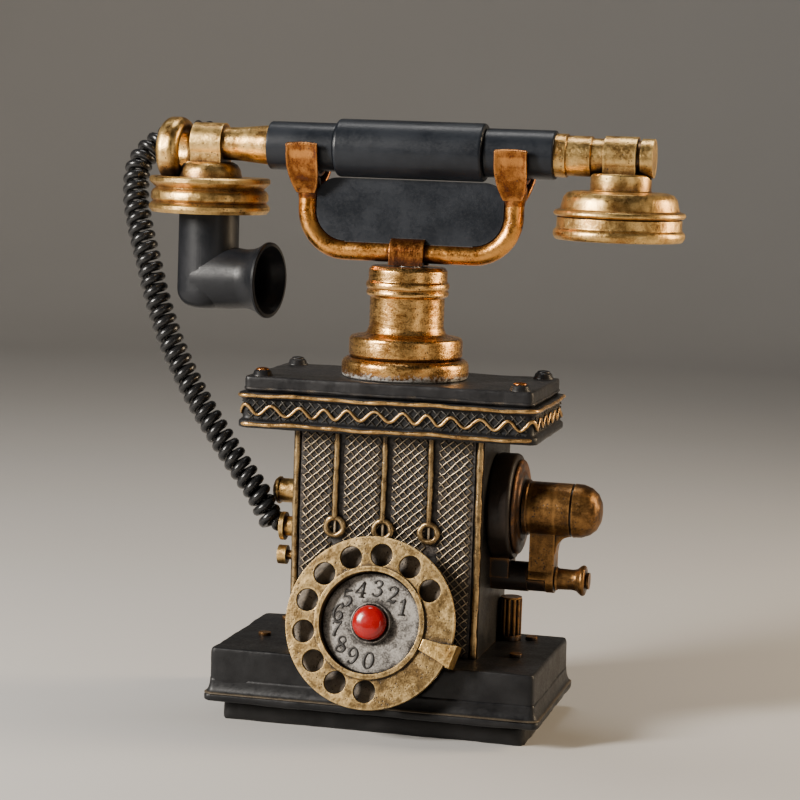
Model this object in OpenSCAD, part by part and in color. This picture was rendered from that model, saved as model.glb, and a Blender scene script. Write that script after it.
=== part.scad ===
// Antique-pattern desk telephone: stepped base, square case with a rotary dial
// and a magneto crank, turned column, forked cradle, handset and coiled cord.
// Millimetres, +Z up, front faces -Y, origin at the centre of the base underside.

/* [Base] */
// Width of the base block
base_w = 147; // [140:1:165]
// Depth of the base block
base_d = 84; // [82:1:90]
// Height of the plinth under the base
plinth_h = 9; // [7:0.5:12]
// Height of the moulded lip above the plinth
lip_h = 4; // [3:0.5:6]
// Top of the base block
base_top = 33; // [31:1:35]
// Wall of the hollow base block
base_wall = 4; // [3:0.5:6]

/* [Case] */
// Width of the case
case_w = 87; // [84:1:92]
// Front face of the case, measured back from the origin
case_front = -20; // [-21:0.5:-19]
// Back face of the case
case_back = 38; // [38:0.5:42]
// Top of the case, where the cornice sits
case_top = 131; // [130:1:134]
// Wall thickness of the case
case_wall = 2.5; // [2:0.5:3]

/* [Cornice] */
// Width of the cornice
cornice_w = 136; // [132:1:136]
// Depth of the cornice
cornice_d = 72; // [68:1:76]
// Height of the cornice
cornice_h = 16; // [14:1:20]
// Width of the slab on the cornice
slab_w = 131; // [124:1:131]
// Depth of the slab
slab_d = 67; // [62:1:70]
// Thickness of the slab
slab_h = 7; // [5:1:9]

/* [Column and cradle] */
// Centre of the column, handset and cradle, behind the origin
col_y = 6; // [5:0.5:7]
// Radius of the plain neck of the column
neck_r = 16.8; // [15:0.1:20]
// Radius of the lower flange of the column
flange_r = 28.7; // [25:0.1:31]
// Top of the column
col_top = 204; // [202:0.5:204]
// Radius of the cradle plunger
plunger_r = 6; // [5.5:0.1:6.5]
// Running clearance of the shafts and the plunger, on the radius
run_fit = 0.05; // [0.02:0.01:0.08]
// Height of the cradle bar
bar_z = 210; // [209.5:0.5:211]
// Radius of the round cradle bar
bar_r = 4.4; // [4:0.1:4.6]
// Distance of each saddle from the middle
saddle_x = 47.5; // [46:0.5:49]
// Width of each saddle
saddle_w = 14.8; // [12:0.2:16]
// Rise of the cradle when the handset is lifted
cradle_rise = 4; // [2:0.5:4]

/* [Handset] */
// Height of the handset axis at rest
hs_z = 256; // [256:0.5:260]
// Distance of the earpiece and mouthpiece from the middle
end_x = 94.5; // [92:0.5:96]
// Radius of the thick middle grip
grip_r = 13; // [12:0.1:13.4]
// Radius of the slimmer outer grips
grip_end_r = 10.9; // [9.5:0.1:11]
// Radius of the transmitter rim
trans_r = 27.6; // [24:0.1:28]
// Radius of the mouthpiece pipe
pipe_r = 13.9; // [12:0.1:14.5]
// Radius of the flared mouth of the pipe
horn_r = 17.3; // [15:0.1:18]
// Radius of the receiver flare
recv_r = 29; // [26:0.1:31]
// Wall of the turned shells
shell_t = 1.8; // [1.4:0.1:2.2]
// Outer radius of the hanging ring
ring_r = 15.2; // [14:0.1:16]
// Radius of the wire of the hanging ring
ring_wire = 3.9; // [3:0.1:4]

/* [Dial] */
// Radius of the finger wheel
dial_r = 38; // [37:0.5:38.5]
// Tilt of the dial from upright
dial_tilt = 16; // [14:1:17]
// Centre of the dial, forward of the origin
dial_y = -45; // [-46:0.5:-45]
// Height of the dial centre
dial_z = 51; // [50.5:0.5:52]
// Radius of the circle of finger holes
hole_circle_r = 30; // [29.5:0.1:30.2]
// Radius of a finger hole
hole_r = 5; // [4.5:0.1:5]
// Angle of the first finger hole
first_hole = 32; // [30:1:34]
// Angle between finger holes
hole_step = 26.6; // [26:0.1:27]
// Radius of the centre button
button_r = 7.55; // [7:0.05:7.6]
// Travel of the centre button
button_travel = 2.2; // [1.5:0.1:2.2]

/* [Crank] */
// Height of the crank axis
crank_z = 98; // [97:0.5:99]
// Crank axis behind the origin
crank_y = 9; // [8:0.5:10]
// Radius of the fixed drum behind the crank
drum_r = 24; // [22:0.5:25]
// Outer end of the drum
drum_x = 54; // [52:0.5:55]
// Radius of the bullet-shaped hub
hub_r = 12; // [10.5:0.1:12]
// Inner face of the crank arm
arm_x = 60.6; // [60.6:0.2:62]
// Thickness of the crank arm
arm_t = 11.4; // [9:0.2:12]
// Length of the crank arm between its axes
arm_len = 31.5; // [28:0.5:34]
// Radius of the crank shaft
shaft_r = 4; // [3.5:0.1:4.2]

/* [Magneto gears] */
// Teeth on the crank gear
crank_teeth = 48; // [48:16:48]
// Teeth on the armature pinion
pinion_teeth = 16; // [16:1:16]
// Gear module
gear_m = 1; // [1:0.1:1]

/* [Cord] */
// Outer diameter of the coiled cord
cord_d = 12.5; // [10:0.5:12.5]
// Height of the cord gland on the case
gland_z = 83; // [82:0.5:84]

/* [Hidden] */
$fn = 64;
cornice_y = 6;
cornice_z = case_top + cornice_h;
slab_z = cornice_z + slab_h;
case_d = case_back - case_front;
case_cy = (case_back + case_front) / 2;
gear_gap = gear_m * (crank_teeth + pinion_teeth) / 2 + 0.2;
arma_z = crank_z - gear_gap;
gap = 0.5;
tor_r = 18;
// the crank arm passes under the cornice: its inner face is cut back outside sweep_r
sweep_r = case_top - crank_z - 0.8;
thin_x = cornice_w / 2 + gap;
// radius of the band round the handset's end fittings
band_r = 9.3;
// mouthpiece: axis of its level pipe below the handset, end of the horn, and its turn forward
pipe_drop = 61;
mouth_x = -62.5;
horn_turn = 10;

bronze = [0.62, 0.43, 0.20];
gold = [0.85, 0.66, 0.33];
dark = [0.20, 0.19, 0.18];
steel = [0.62, 0.62, 0.64];
copper = [0.62, 0.30, 0.12];
slate = [0.24, 0.24, 0.26];

// ---------- helpers ----------
module at_dial() translate([0, dial_y, dial_z]) rotate([90 - dial_tilt, 0, 0]) children();
module at_crank() translate([0, crank_y, crank_z]) rotate([0, 90, 0]) children();
module at_handset() translate([0, col_y, hs_z]) children();
module box(x0, x1, y0, y1, z0, z1)
    translate([x0, y0, z0]) cube([x1 - x0, y1 - y0, z1 - z0]);
module block(w, d, z0, z1, cy = 0) box(-w / 2, w / 2, cy - d / 2, cy + d / 2, z0, z1);
module xcyl(r, x0, x1, y = 0, z = 0)
    translate([x0, y, z]) rotate([0, 90, 0]) cylinder(r = r, h = x1 - x0);
module ycyl(r, y0, y1, x = 0, z = 0)
    translate([x, y1, z]) rotate([90, 0, 0]) cylinder(r = r, h = y1 - y0);
// a block with its upright corners rounded to r
module rblock(w, d, z0, z1, r, cy = 0) {
    block(w - 2 * r, d, z0, z1, cy);
    block(w, d - 2 * r, z0, z1, cy);
    for (x = [-1, 1], y = [-1, 1]) zcyl(r, z0, z1, x * (w / 2 - r), cy + y * (d / 2 - r));
}
module zcyl(r, z0, z1, x = 0, y = 0) translate([x, y, z0]) cylinder(r = r, h = z1 - z0);
module turn_x(pts, x = 0, y = 0, z = 0)
    translate([x, y, z]) rotate([0, 90, 0]) rotate_extrude() polygon(pts);
// outline of a spur gear with straight-sided teeth
function gear_pts(n, m) = [for (i = [0:n - 1]) for (k = [0:3])
    let (p = 360 / n, a = i * p + [-0.27, -0.12, 0.12, 0.27][k] * p,
         r = m * n / 2 + [-0.9, 0.65, 0.65, -0.9][k] * m)
    [r * cos(a), r * sin(a)]];

// ---------- base ----------
module base_plinth() color(dark) rblock(base_w - 9, base_d - 9, 0, plinth_h, 4);

module base_block() color(slate) difference() {
    union() {
        rblock(base_w, base_d, plinth_h, base_top, 2);
        rblock(base_w + 5, base_d + 5, plinth_h, plinth_h + lip_h, 3);
    }
    block(base_w - 2 * base_wall, base_d - 2 * base_wall, plinth_h - 1, base_top - base_wall);
    // pocket for the back of the dial
    at_dial() zcyl(36.4, -27, 20);
    // room for the foot of the finger stop
    at_dial() rotate([0, 0, -17]) box(30, 41.2, -6.4, 6.4, -9.6, 5);
}

module base_screws() color(gold)
    for (x = [-58.5, 58.5], y = [-8, 30]) difference() {
        zcyl(2.8, base_top, base_top + 1.6, x, y);
        box(x - 4, x + 4, y - 0.4, y + 0.4, base_top + 1, base_top + 2);
    }

// ---------- case ----------
module case_shell() color(dark) difference() {
    block(case_w, case_d, base_top, case_top, case_cy);
    block(case_w - 2 * case_wall, case_d - 2 * case_wall, base_top - 1, case_top + 1, case_cy);
    at_crank() zcyl(shaft_r + 0.4, -60, 60);
    // cord way
    xcyl(2.6, -60, -30, 0, gland_z);
    // end of the governor spindle
    at_dial() zcyl(1.6, -27, -18, 0, 14.5);
    // back hatch
    box(-32, 32, case_back - 5, case_back + 5, 44, 120);
}

module back_panel() color(dark) difference() {
    box(-36, 36, case_back, case_back + 1.5, 40, 124);
    for (i = [0:4]) box(-14, 14, case_back - 1, case_back + 3, 92 + i * 5, 93.6 + i * 5);
}

module front_panel() color([0.45, 0.38, 0.27]) difference() {
    box(-case_w / 2 + 3.8, case_w / 2 - 3.8, case_front - 1.2, case_front,
        base_top, case_top);
    at_dial() zcyl(34, -60, 20);
}

module corner_beads() color(gold) for (s = [-1, 1]) difference() {
    zcyl(1.9, base_top, case_top, s * (case_w / 2 - 1.8), case_front);
    box(-60, 60, case_front, case_front + 5, base_top - 1, case_top + 1);
}

module front_rods() color(gold) for (x = [-23, -1, 20]) {
    zcyl(1.35, 93, case_top, x, case_front - 2.6);
    difference() {
        ycyl(5, case_front - 3.8, case_front - 1.2, x, 88.3);
        ycyl(2.6, case_front - 5, case_front, x, 88.3);
    }
    zcyl(0.9, 84.6, 92, x, case_front - 2.6);
}

module cornice() color(bronze) difference() {
    union() {
        rblock(cornice_w - 4, cornice_d - 4, case_top, cornice_z, 3, cornice_y);
        rblock(cornice_w, cornice_d, case_top, case_top + 3.4, 5, cornice_y);
        rblock(cornice_w, cornice_d, cornice_z - 2.8, cornice_z, 5, cornice_y);
    }
    block(cornice_w - 12, cornice_d - 12, case_top + 3.5, cornice_z + 1, cornice_y);
    zcyl(plunger_r + gap, case_top - 1, case_top + 5, 0, col_y);
}

module slab() color(slate) difference() {
    rblock(slab_w, slab_d, cornice_z, slab_z, 2.5, cornice_y);
    zcyl(plunger_r + gap, cornice_z - 1, slab_z + 1, 0, col_y);
}

module slab_screws() color(gold)
    for (x = [-58.5, 58.5], y = [-22, 34]) difference() {
        union() {
            zcyl(4.3, slab_z, slab_z + 0.7, x, y);
            zcyl(3, slab_z + 0.7, slab_z + 2.4, x, y);
        }
        box(x - 4, x + 4, y - 0.4, y + 0.4, slab_z + 1.8, slab_z + 3);
    }

module bearing_cap() color(gold) difference() {
    union() {
        at_crank() zcyl(5.6, -57.5, -case_w / 2);
        at_crank() translate([0, 0, -61]) rotate_extrude()
            polygon([[0, 0], [3, 0.3], [5.2, 1.2], [6.3, 2.6], [6.3, 3.5], [0, 3.5]]);
    }
    at_crank() zcyl(shaft_r + run_fit, -57, 0);
}

module cord_gland() color(gold) difference() {
    union() {
        xcyl(4.6, -52, -case_w / 2, 0, gland_z);
        xcyl(6.5, -54, -52, 0, gland_z);
    }
    xcyl(2.6, -52, -40, 0, gland_z);
}

module terminal_nut() color(gold) {
    xcyl(2.2, -51, -case_w / 2, 0, 69.7);
    xcyl(4.4, -55, -51, 0, 69.7);
}

module ribbed_post() color(bronze) translate([case_w / 2 + 5.2, 28, base_top]) {
    zcyl(4.3, 0, 20);
    for (i = [0:11]) rotate([0, 0, i * 30]) zcyl(0.9, 2.4, 19.2, 4.3, 0);
    zcyl(5.2, 0, 2.4);
    zcyl(4.9, 19.2, 20);
}

module crank_drum() color(dark) difference() {
    at_crank() zcyl(drum_r, case_w / 2, drum_x);
    at_crank() zcyl(drum_r - 4, case_w / 2 - 1, drum_x - 3);
    at_crank() zcyl(shaft_r + 0.5, 0, drum_x + 1);
}

module escutcheon() color(copper) difference() {
    at_crank() rotate_extrude() polygon([[0, drum_x], [21.4, drum_x], [21.4, drum_x + 1.4],
        [19.6, drum_x + 2.2], [16, drum_x + 2.2], [15, drum_x + 3], [0, drum_x + 3]]);
    at_crank() zcyl(shaft_r + run_fit, 0, drum_x + 5);
}

// boss and web below the drum; the crank arm rests on the lip under its cut-back end
module park_boss() color(dark) {
    xcyl(6.7, case_w / 2, arm_x - gap, crank_y, crank_z - arm_len);
    difference() {
        box(case_w / 2, drum_x - 2, crank_y - 8, crank_y + 8, crank_z - arm_len, crank_z - 12);
        at_crank() zcyl(drum_r + 0.05, 0, drum_x + 1);
        xcyl(6.7, 0, drum_x, crank_y, crank_z - arm_len);
    }
    difference() {
        xcyl(6.3, arm_x - gap, thin_x - gap, crank_y, crank_z - arm_len);
        at_crank() zcyl(sweep_r + gap, 0, 80);
    }
}

// ---------- column ----------
module column_flange() color(bronze) translate([0, col_y, 0]) rotate_extrude()
    polygon([[plunger_r + gap, slab_z], [flange_r - 1, slab_z], [flange_r, slab_z + 1.4],
        [flange_r, slab_z + 6.6], [flange_r - 0.8, slab_z + 7.8], [flange_r - 2.6, slab_z + 9],
        [plunger_r + gap, slab_z + 9]]);

module column() color(bronze) translate([0, col_y, 0]) rotate_extrude()
    polygon([[plunger_r + run_fit, slab_z + 9], [24.8, slab_z + 9], [24.8, slab_z + 9.5],
        [25.6, slab_z + 10.2], [25.6, slab_z + 17], [24.8, slab_z + 18.4],
        [neck_r + 3, slab_z + 19.2], [neck_r + 1.2, slab_z + 20], [neck_r, slab_z + 23],
        [neck_r, slab_z + 36.4], [neck_r + 1.4, slab_z + 37], [neck_r + 1.9, slab_z + 38.2],
        [neck_r + 1.4, slab_z + 39.4], [neck_r + 1, slab_z + 39.7],
        [neck_r + 1.7, slab_z + 40.2], [neck_r + 2.1, slab_z + 41.6],
        [neck_r + 1.7, slab_z + 43], [neck_r + 0.9, slab_z + 43.4],
        [neck_r + 0.9, col_top - 1.6], [neck_r - 0.4, col_top],
        [plunger_r + run_fit, col_top]]);

// ---------- dial, fixed parts ----------
module dial_mount() color(dark) difference() {
    at_dial() union() {
        zcyl(33.5, -24, -6.8);
        zcyl(35.7, -9, -6.8);
        zcyl(26, -44, -24);
    }
    at_dial() zcyl(30, -22, -8.6);
    at_dial() zcyl(7.6, -10, 0);
    at_dial() zcyl(1.05, -23, -20, 0, 14.5);
    at_dial() zcyl(1.05, -9, -7.6, 0, 14.5);
    box(-60, 60, case_front, 60, -20, 120);
    box(-60, 60, -base_d / 2 + 14, 60, -20, base_top);
    at_dial() difference() {
        zcyl(60, -60, -24.01);
        translate([-60, -18.2, -60]) cube([120, 100, 60]);
    }
}

module dial_spindle() color(steel) difference() {
    at_dial() zcyl(3.95, -22, -4.6);
    at_dial() zcyl(2.05, -15, 0);
}

module number_cup() color(steel) difference() {
    at_dial() union() {
        zcyl(22, -4.6, -3.4);
        zcyl(9, -3.4, -1.4);
    }
    at_dial() zcyl(7.95, -3.3, 0);
    at_dial() zcyl(2.05, -6, 0);
}

module finger_stop() color(gold) at_dial() rotate([0, 0, -17]) {
    // blade in front of the wheel, and the leg behind its rim
    translate([0, 0, 0.5]) linear_extrude(1.3)
        polygon([[25.4, -2.7], [33, -3.8], [40.6, -5.4], [40.6, 5], [33, 3.2], [25.4, 2.4]]);
    box(38.6, 40.6, -5.4, 5, -9, 0.5);
    box(35.7, 38.6, -4.4, 4, -9, -6.8);
}

// ---------- dial, moving parts ----------
module finger_wheel() color(gold) difference() {
    at_dial() union() {
        zcyl(dial_r, -2.4, 0);
        zcyl(24.8, -6.2, 1.2);
        zcyl(7, -10.5, -6.2);
    }
    at_dial() zcyl(22.5, -5, 2);
    at_dial() zcyl(3.95 + run_fit, -12, 0);
    at_dial() for (i = [0:9]) rotate([0, 0, first_hole + i * hole_step])
        zcyl(hole_r, -5, 2, hole_circle_r, 0);
}

module wheel_gear() color(gold) at_dial() difference() {
    translate([0, 0, -13]) linear_extrude(2.5) polygon(gear_pts(36, 0.6));
    zcyl(3.95 + run_fit, -14, 0);
}

module governor() color(steel) at_dial() translate([0, 14.5, 0]) {
    zcyl(1, -22.8, -7.8);
    rotate([0, 0, 15]) translate([0, 0, -13.4]) linear_extrude(3.3) polygon(gear_pts(12, 0.6));
    zcyl(6, -20, -15);
}

module dial_button() color([0.75, 0.05, 0.04]) at_dial() rotate_extrude()
    polygon([[0, -12], [2, -12], [2, -0.9], [button_r, -0.9], [button_r, 0.8],
        [button_r * 0.92, 2], [button_r * 0.72, 3.2], [button_r * 0.4, 4], [0, 4.3]]);

// ---------- magneto and ringer ----------
module magneto_frame() color(steel) difference() {
    union() {
        box(-22, 22, crank_y - 17, crank_y + 17, arma_z - 12, arma_z + 12);
        for (x = [-25, 22]) box(x, x + 3, crank_y - 17, crank_y + 17, base_top, arma_z + 12);
    }
    xcyl(10, -22, 22, crank_y, arma_z);
    xcyl(2 + run_fit, -30, 30, crank_y, arma_z);
}

module magnets() color([0.35, 0.08, 0.06]) for (x = [-18, 3]) difference() {
    box(x, x + 15, crank_y - 22, crank_y + 22, arma_z - 10, arma_z + 25);
    box(x - 1, x + 16, crank_y - 17, crank_y + 17, arma_z - 11, arma_z + 20);
}

module armature() color(copper) {
    xcyl(2, -25.5, 34.9, crank_y, arma_z);
    difference() {
        xcyl(9.5, -20, 20, crank_y, arma_z);
        box(-21, 21, crank_y - 12, crank_y - 5, arma_z - 4, arma_z + 4);
        box(-21, 21, crank_y + 5, crank_y + 12, arma_z - 4, arma_z + 4);
    }
    translate([34.9, crank_y, arma_z]) rotate([0, 90, 0]) rotate([0, 0, 180 / pinion_teeth])
        linear_extrude(5.2) polygon(gear_pts(pinion_teeth, gear_m));
}

module ringer_coils() color([0.45, 0.14, 0.08]) {
    box(-16, 16, 18, case_back - case_wall, 101.5, 104);
    for (x = [-9, 9]) zcyl(5, 104, 113, x, 25);
    box(-3, 3, 18, 20, 104, 110);
    ycyl(1, 13, 18, 0, 107);
}

module gongs() color(gold) for (x = [-20, 20]) {
    difference() {
        translate([x, 17, 115]) rotate_extrude()
            polygon([[13, 0], [14, 0], [14, 4], [12, 7.4], [8, 9], [0, 9], [0, 7.8],
                [7.6, 7.8], [11.2, 6.4], [13, 3.6]]);
    }
    zcyl(1.6, 124, case_top, x, 17);
}

module clapper() color(gold) difference() {
    union() {
        ycyl(2.4, 13.6, 17.4, 0, 107);
        zcyl(0.7, 108.5, 118.6, 0, 15.5);
        translate([0, 15.5, 120]) sphere(r = 2);
    }
    ycyl(1 + run_fit, 10, 20, 0, 107);
}

module hook_contacts() color(steel) {
    box(-case_w / 2 + case_wall, -30, 0, 12, 105, 114.4);
    for (z = [108.6, 111.6]) box(-30, 5, 2.5, 9.5, z, z + 0.6);
}

// ---------- crank ----------
module crank_shaft() color(steel) at_crank() zcyl(shaft_r, -56.5, drum_x + 3.6);

module crank_hub() color(bronze) at_crank() rotate_extrude()
    polygon([[0, drum_x + 3.6], [hub_r + 0.6, drum_x + 3.6], [hub_r + 0.6, drum_x + 5],
        [hub_r, drum_x + 5.6], [hub_r, arm_x], [0, arm_x]]);

module crank_arm() color(bronze) difference() {
    union() {
        xcyl(hub_r, arm_x, arm_x + arm_t, crank_y, crank_z);
        box(arm_x, arm_x + arm_t, crank_y - 5.5, crank_y + 5.5, crank_z - arm_len, crank_z);
        xcyl(6.6, arm_x, arm_x + arm_t, crank_y, crank_z - arm_len);
        xcyl(2.5, arm_x + arm_t, arm_x + arm_t + 15.2, crank_y, crank_z - arm_len);
        xcyl(3.8, arm_x + arm_t + 14.4, arm_x + arm_t + 15.6, crank_y, crank_z - arm_len);
    }
    at_crank() zcyl(8, arm_x - 1, arm_x + arm_t + 1);
    // room for the cornice
    difference() {
        box(arm_x - 1, thin_x, crank_y - 10, crank_y + 10, crank_z - arm_len - 10, crank_z - 20);
        at_crank() zcyl(sweep_r, 0, 80);
    }
}

module crank_nose() color(bronze) at_crank() rotate_extrude()
    polygon([[0, arm_x], [8, arm_x], [8, arm_x + arm_t], [hub_r, arm_x + arm_t],
        [hub_r, arm_x + 18.2], [hub_r - 0.9, arm_x + 18.4], [hub_r - 0.9, arm_x + 19],
        [hub_r + 0.2, arm_x + 19.2], [hub_r - 0.1, arm_x + 23], [hub_r - 1.4, arm_x + 26.6],
        [hub_r - 3.8, arm_x + 29.4], [hub_r - 7.2, arm_x + 31.1], [0, arm_x + 31.8]]);

module crank_gear() color(gold) at_crank() difference() {
    translate([0, 0, 35.5]) linear_extrude(4) polygon(gear_pts(crank_teeth, gear_m));
    zcyl(shaft_r, 30, 45);
    for (i = [0:4]) rotate([0, 0, i * 72 + 36]) zcyl(4.5, 30, 45, 13.5, 0);
}

module crank_grip() color(gold)
    translate([arm_x + arm_t, crank_y, crank_z - arm_len]) rotate([0, 90, 0])
    rotate_extrude() polygon([[2.5 + run_fit, 0.4], [5.6, 0.4], [4.8, 1.8], [4.6, 8],
        [5, 10], [6.4, 11.6], [6.9, 12.4], [6.9, 13.4], [6.1, 14], [2.5 + run_fit, 14]]);

// ---------- cradle ----------
module plunger() color(steel) difference() {
    union() {
        zcyl(plunger_r, 113.5, col_top + 0.2, 0, col_y);
        zcyl(4.2, col_top, bar_z, 0, col_y);
    }
    xcyl(bar_r, -20, 20, col_y, bar_z);
}

// strap over the bar, its feet just clear of the column
module bar_strap() color(copper) difference() {
    union() {
        xcyl(bar_r + 2.3, -8, 8, col_y, bar_z);
        box(-8, 8, col_y - bar_r - 2.3, col_y + bar_r + 2.3, col_top + 0.4, bar_z);
    }
    xcyl(bar_r, -20, 20, col_y, bar_z);
    box(-20, 20, col_y - bar_r, col_y + bar_r, col_top - 1, bar_z);
}

module quarter(s) translate([s * (saddle_x - tor_r), col_y, bar_z + tor_r])
    rotate([90, s > 0 ? 0 : 0, 0]) rotate([0, 0, s > 0 ? -90 : 180])
    rotate_extrude(angle = 90) translate([tor_r, 0]) circle(r = bar_r);

module cradle_bar() color(bronze) difference() {
    union() {
        xcyl(bar_r, -saddle_x + tor_r, saddle_x - tor_r, col_y, bar_z);
        quarter(1);
        quarter(-1);
        for (s = [-1, 1]) zcyl(bar_r, bar_z + tor_r, hs_z - 20, s * saddle_x, col_y);
    }
    xcyl(14.4, -60, 60, col_y, hs_z);
}

module saddle(x) color(copper) at_handset() difference() {
    union() {
        xcyl(14.4, x - saddle_w / 2, x + saddle_w / 2);
        box(x - saddle_w / 2, x + saddle_w / 2, -14.4, 14.4, 0, 1.2);
        // root, widening from the bar up to the seat
        translate([x, 0, -20]) cylinder(r1 = bar_r, r2 = 7.2, h = 9);
    }
    xcyl(grip_end_r + gap, x - 20, x + 20);
    box(x - 20, x + 20, -grip_end_r - gap, grip_end_r + gap, 0, 20);
    box(x - 20, x + 20, -20, 20, 1.2, 20);
}
module saddle_left() saddle(-saddle_x);
module saddle_right() saddle(saddle_x);

module cradle_web() color(slate) difference() {
    box(-saddle_x + bar_r + 0.05, saddle_x - bar_r - 0.05, col_y - 2, col_y + 2,
        bar_z, hs_z - 13.4);
    xcyl(bar_r, -60, 60, col_y, bar_z);
    xcyl(bar_r + 2.32, -8.02, 8.02, col_y, bar_z);
    // lower corners follow the bends of the bar, upper ones are rounded off
    for (s = [-1, 1]) {
        difference() {
            box(s > 0 ? saddle_x - tor_r : -60, s > 0 ? 60 : -saddle_x + tor_r,
                col_y - 5, col_y + 5, bar_z - 10, bar_z + tor_r);
            ycyl(tor_r - bar_r - 0.02, col_y - 6, col_y + 6, s * (saddle_x - tor_r),
                bar_z + tor_r);
        }
        difference() {
            box(s > 0 ? saddle_x - 14 : -60, s > 0 ? 60 : 14 - saddle_x,
                col_y - 5, col_y + 5, hs_z - 23.4, hs_z);
            ycyl(10, col_y - 6, col_y + 6, s * (saddle_x - 14), hs_z - 23.4);
            box(-60, 60, col_y - 6, col_y + 6, hs_z - 24, hs_z - 23.4);
        }
    }
}

// ---------- handset ----------
module grip_middle() color(slate) at_handset() difference() {
    turn_x([[0, -34], [grip_r - 0.8, -34], [grip_r, -33], [grip_r, 33], [grip_r - 0.8, 34],
        [0, 34]]);
    xcyl(5, -40, 40);
}

module grip_ends() color(slate) at_handset() for (s = [-1, 1]) difference() {
    xcyl(grip_end_r, s > 0 ? 34 : -65.5, s > 0 ? 65.5 : -34);
    xcyl(5, -70, 70);
}

module handset_tubes() color(gold) at_handset() {
    xcyl(5, -65.5, 65.5);
    turn_x([[0, -87.3], [7.4, -87.3], [7.6, -80], [8.9, -66.5], [8.9, -65.5], [0, -65.5]]);
    turn_x([[0, 65.5], [9.6, 65.5], [9.6, 70.4], [8.9, 71], [8.9, 81.4], [8, 82], [8, 87.3],
        [0, 87.3]]);
}

// band round each end of the handset, with straight sides down to the shell below it
module end_fittings() color(gold) at_handset() {
    for (s = [-1, 1]) {
        xcyl(band_r, s * end_x - 7.2, s * end_x + 7.2);
        box(s * end_x - 7.2, s * end_x + 7.2, -8, 8, -band_r - 0.4, 0);
    }
    xcyl(7.4, end_x + 7.2, end_x + 9);
    xcyl(8.6, end_x + 9, end_x + 14.4);
}
module fitting_room(s) {
    xcyl(band_r, s * end_x - 20, s * end_x + 20);
    box(s * end_x - 7.2, s * end_x + 7.2, -8, 8, -band_r - 0.4, 0);
}

module hanging_ring() color(gold) at_handset() difference() {
    translate([-110.6, 0, -3.8]) rotate([0, 0, -5]) rotate([0, 90, 0]) rotate_extrude()
        translate([ring_r - ring_wire, 0]) {
            for (z = [-1.4, 1.4]) translate([0, z]) circle(r = ring_wire);
            translate([-ring_wire, -1.4]) square([2 * ring_wire, 2.8]);
        }
    box(-140, -60, -40, 40, -40, -15.5);
    // room for the dome of the transmitter
    translate([-end_x, 0, 0]) rotate_extrude()
        polygon([[0, -6], [10.4, -6], [10.4, -8.4], [12.6, -9.5], [14.1, -11.7], [14.7, -15.4],
            [14.7, -16], [0, -16]]);
}

module transmitter() color(gold) at_handset() difference() {
    translate([-end_x, 0, 0]) rotate_extrude()
        polygon([[0, -8.5], [10.2, -8.5], [12.4, -9.6], [13.8, -11.8], [14.4, -14.6],
            [14.6, -15.5], [26.8, -15.5], [trans_r, -16.2], [trans_r, -17.8], [26.6, -18.8],
            [24.6, -20.6], [26, -21.6], [26.8, -23], [26.8, -25.6], [25.8, -26.8],
            [26.8, -27.6], [trans_r, -28.6], [trans_r, -30], [26.2, -31.7],
            [pipe_r - shell_t, -31.7], [pipe_r - shell_t, -29], [24, -29], [24, -18], [0, -18]]);
    fitting_room(-1);
}

// pipe down from the transmitter and level towards the front right
module elbow(r, x1) {
    difference() {
        zcyl(r, -pipe_drop - r, -31.7, -end_x, 0);
        translate([-end_x, 0, -pipe_drop]) rotate([0, 45, 0]) box(0, 90, -40, 40, -90, 90);
    }
    difference() {
        xcyl(r, -end_x - r, x1, 0, -pipe_drop);
        translate([-end_x, 0, -pipe_drop]) rotate([0, 45, 0]) box(-90, 0, -40, 40, -90, 90);
    }
}
module mouthpiece() color(slate) at_handset()
    translate([-end_x, 0, 0]) rotate([0, 0, -horn_turn]) translate([end_x, 0, 0]) difference() {
        union() {
            elbow(pipe_r, mouth_x - 9);
            turn_x([[0, mouth_x - 9], [pipe_r, mouth_x - 9], [pipe_r + 1.4, mouth_x - 6],
                [horn_r, mouth_x - 2], [horn_r, mouth_x - 0.6], [horn_r - 1, mouth_x],
                [0, mouth_x]], 0, 0, -pipe_drop);
        }
        elbow(pipe_r - shell_t, mouth_x - 1);
        turn_x([[0, mouth_x - 9], [pipe_r - shell_t, mouth_x - 9], [pipe_r, mouth_x - 5.8],
            [horn_r - 1.4, mouth_x - 1], [horn_r - 1.4, mouth_x + 1], [0, mouth_x + 1]],
            0, 0, -pipe_drop);
        zcyl(pipe_r - shell_t, -34, -30, -end_x, 0);
    }

module receiver_shell() color(gold) at_handset() difference() {
    translate([end_x, 0, 0]) rotate_extrude()
        polygon([[0, -7.2], [12.8, -7.2], [13.4, -8], [13.4, -14.2], [14, -14.8], [20.6, -15],
            [23.4, -15.8], [25, -17.8], [25.8, -21], [26.2, -22.8], [recv_r - 0.5, -23.6],
            [recv_r, -24.4], [recv_r, -25.2], [recv_r - 0.8, -26], [26.6, -26.4],
            [24.8, -26.4], [24.4, -21.4], [23.2, -18.4], [20.4, -16.8], [0, -16.8]]);
    fitting_room(1);
}

module receiver_cap() color(gold) at_handset() translate([end_x, 0, 0]) difference() {
    rotate_extrude() polygon([[24.8, -26.4], [27.5, -26.4], [27.5, -31.2], [recv_r - 0.4, -32],
        [recv_r, -33], [recv_r, -34.6], [27.8, -36.4], [16, -36.4], [7, -33.8], [0, -33.8],
        [0, -31.6], [20, -31.6], [24.8, -29.4]]);
    for (i = [0:5]) rotate([0, 0, i * 60]) zcyl(1.1, -42, -28, 4, 0);
    zcyl(1.1, -42, -28);
}

module receiver_unit() color(steel) at_handset() translate([end_x, 0, 0]) {
    zcyl(24.8, -29.4, -28.8);
    zcyl(9, -28.8, -16.8);
}

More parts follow.
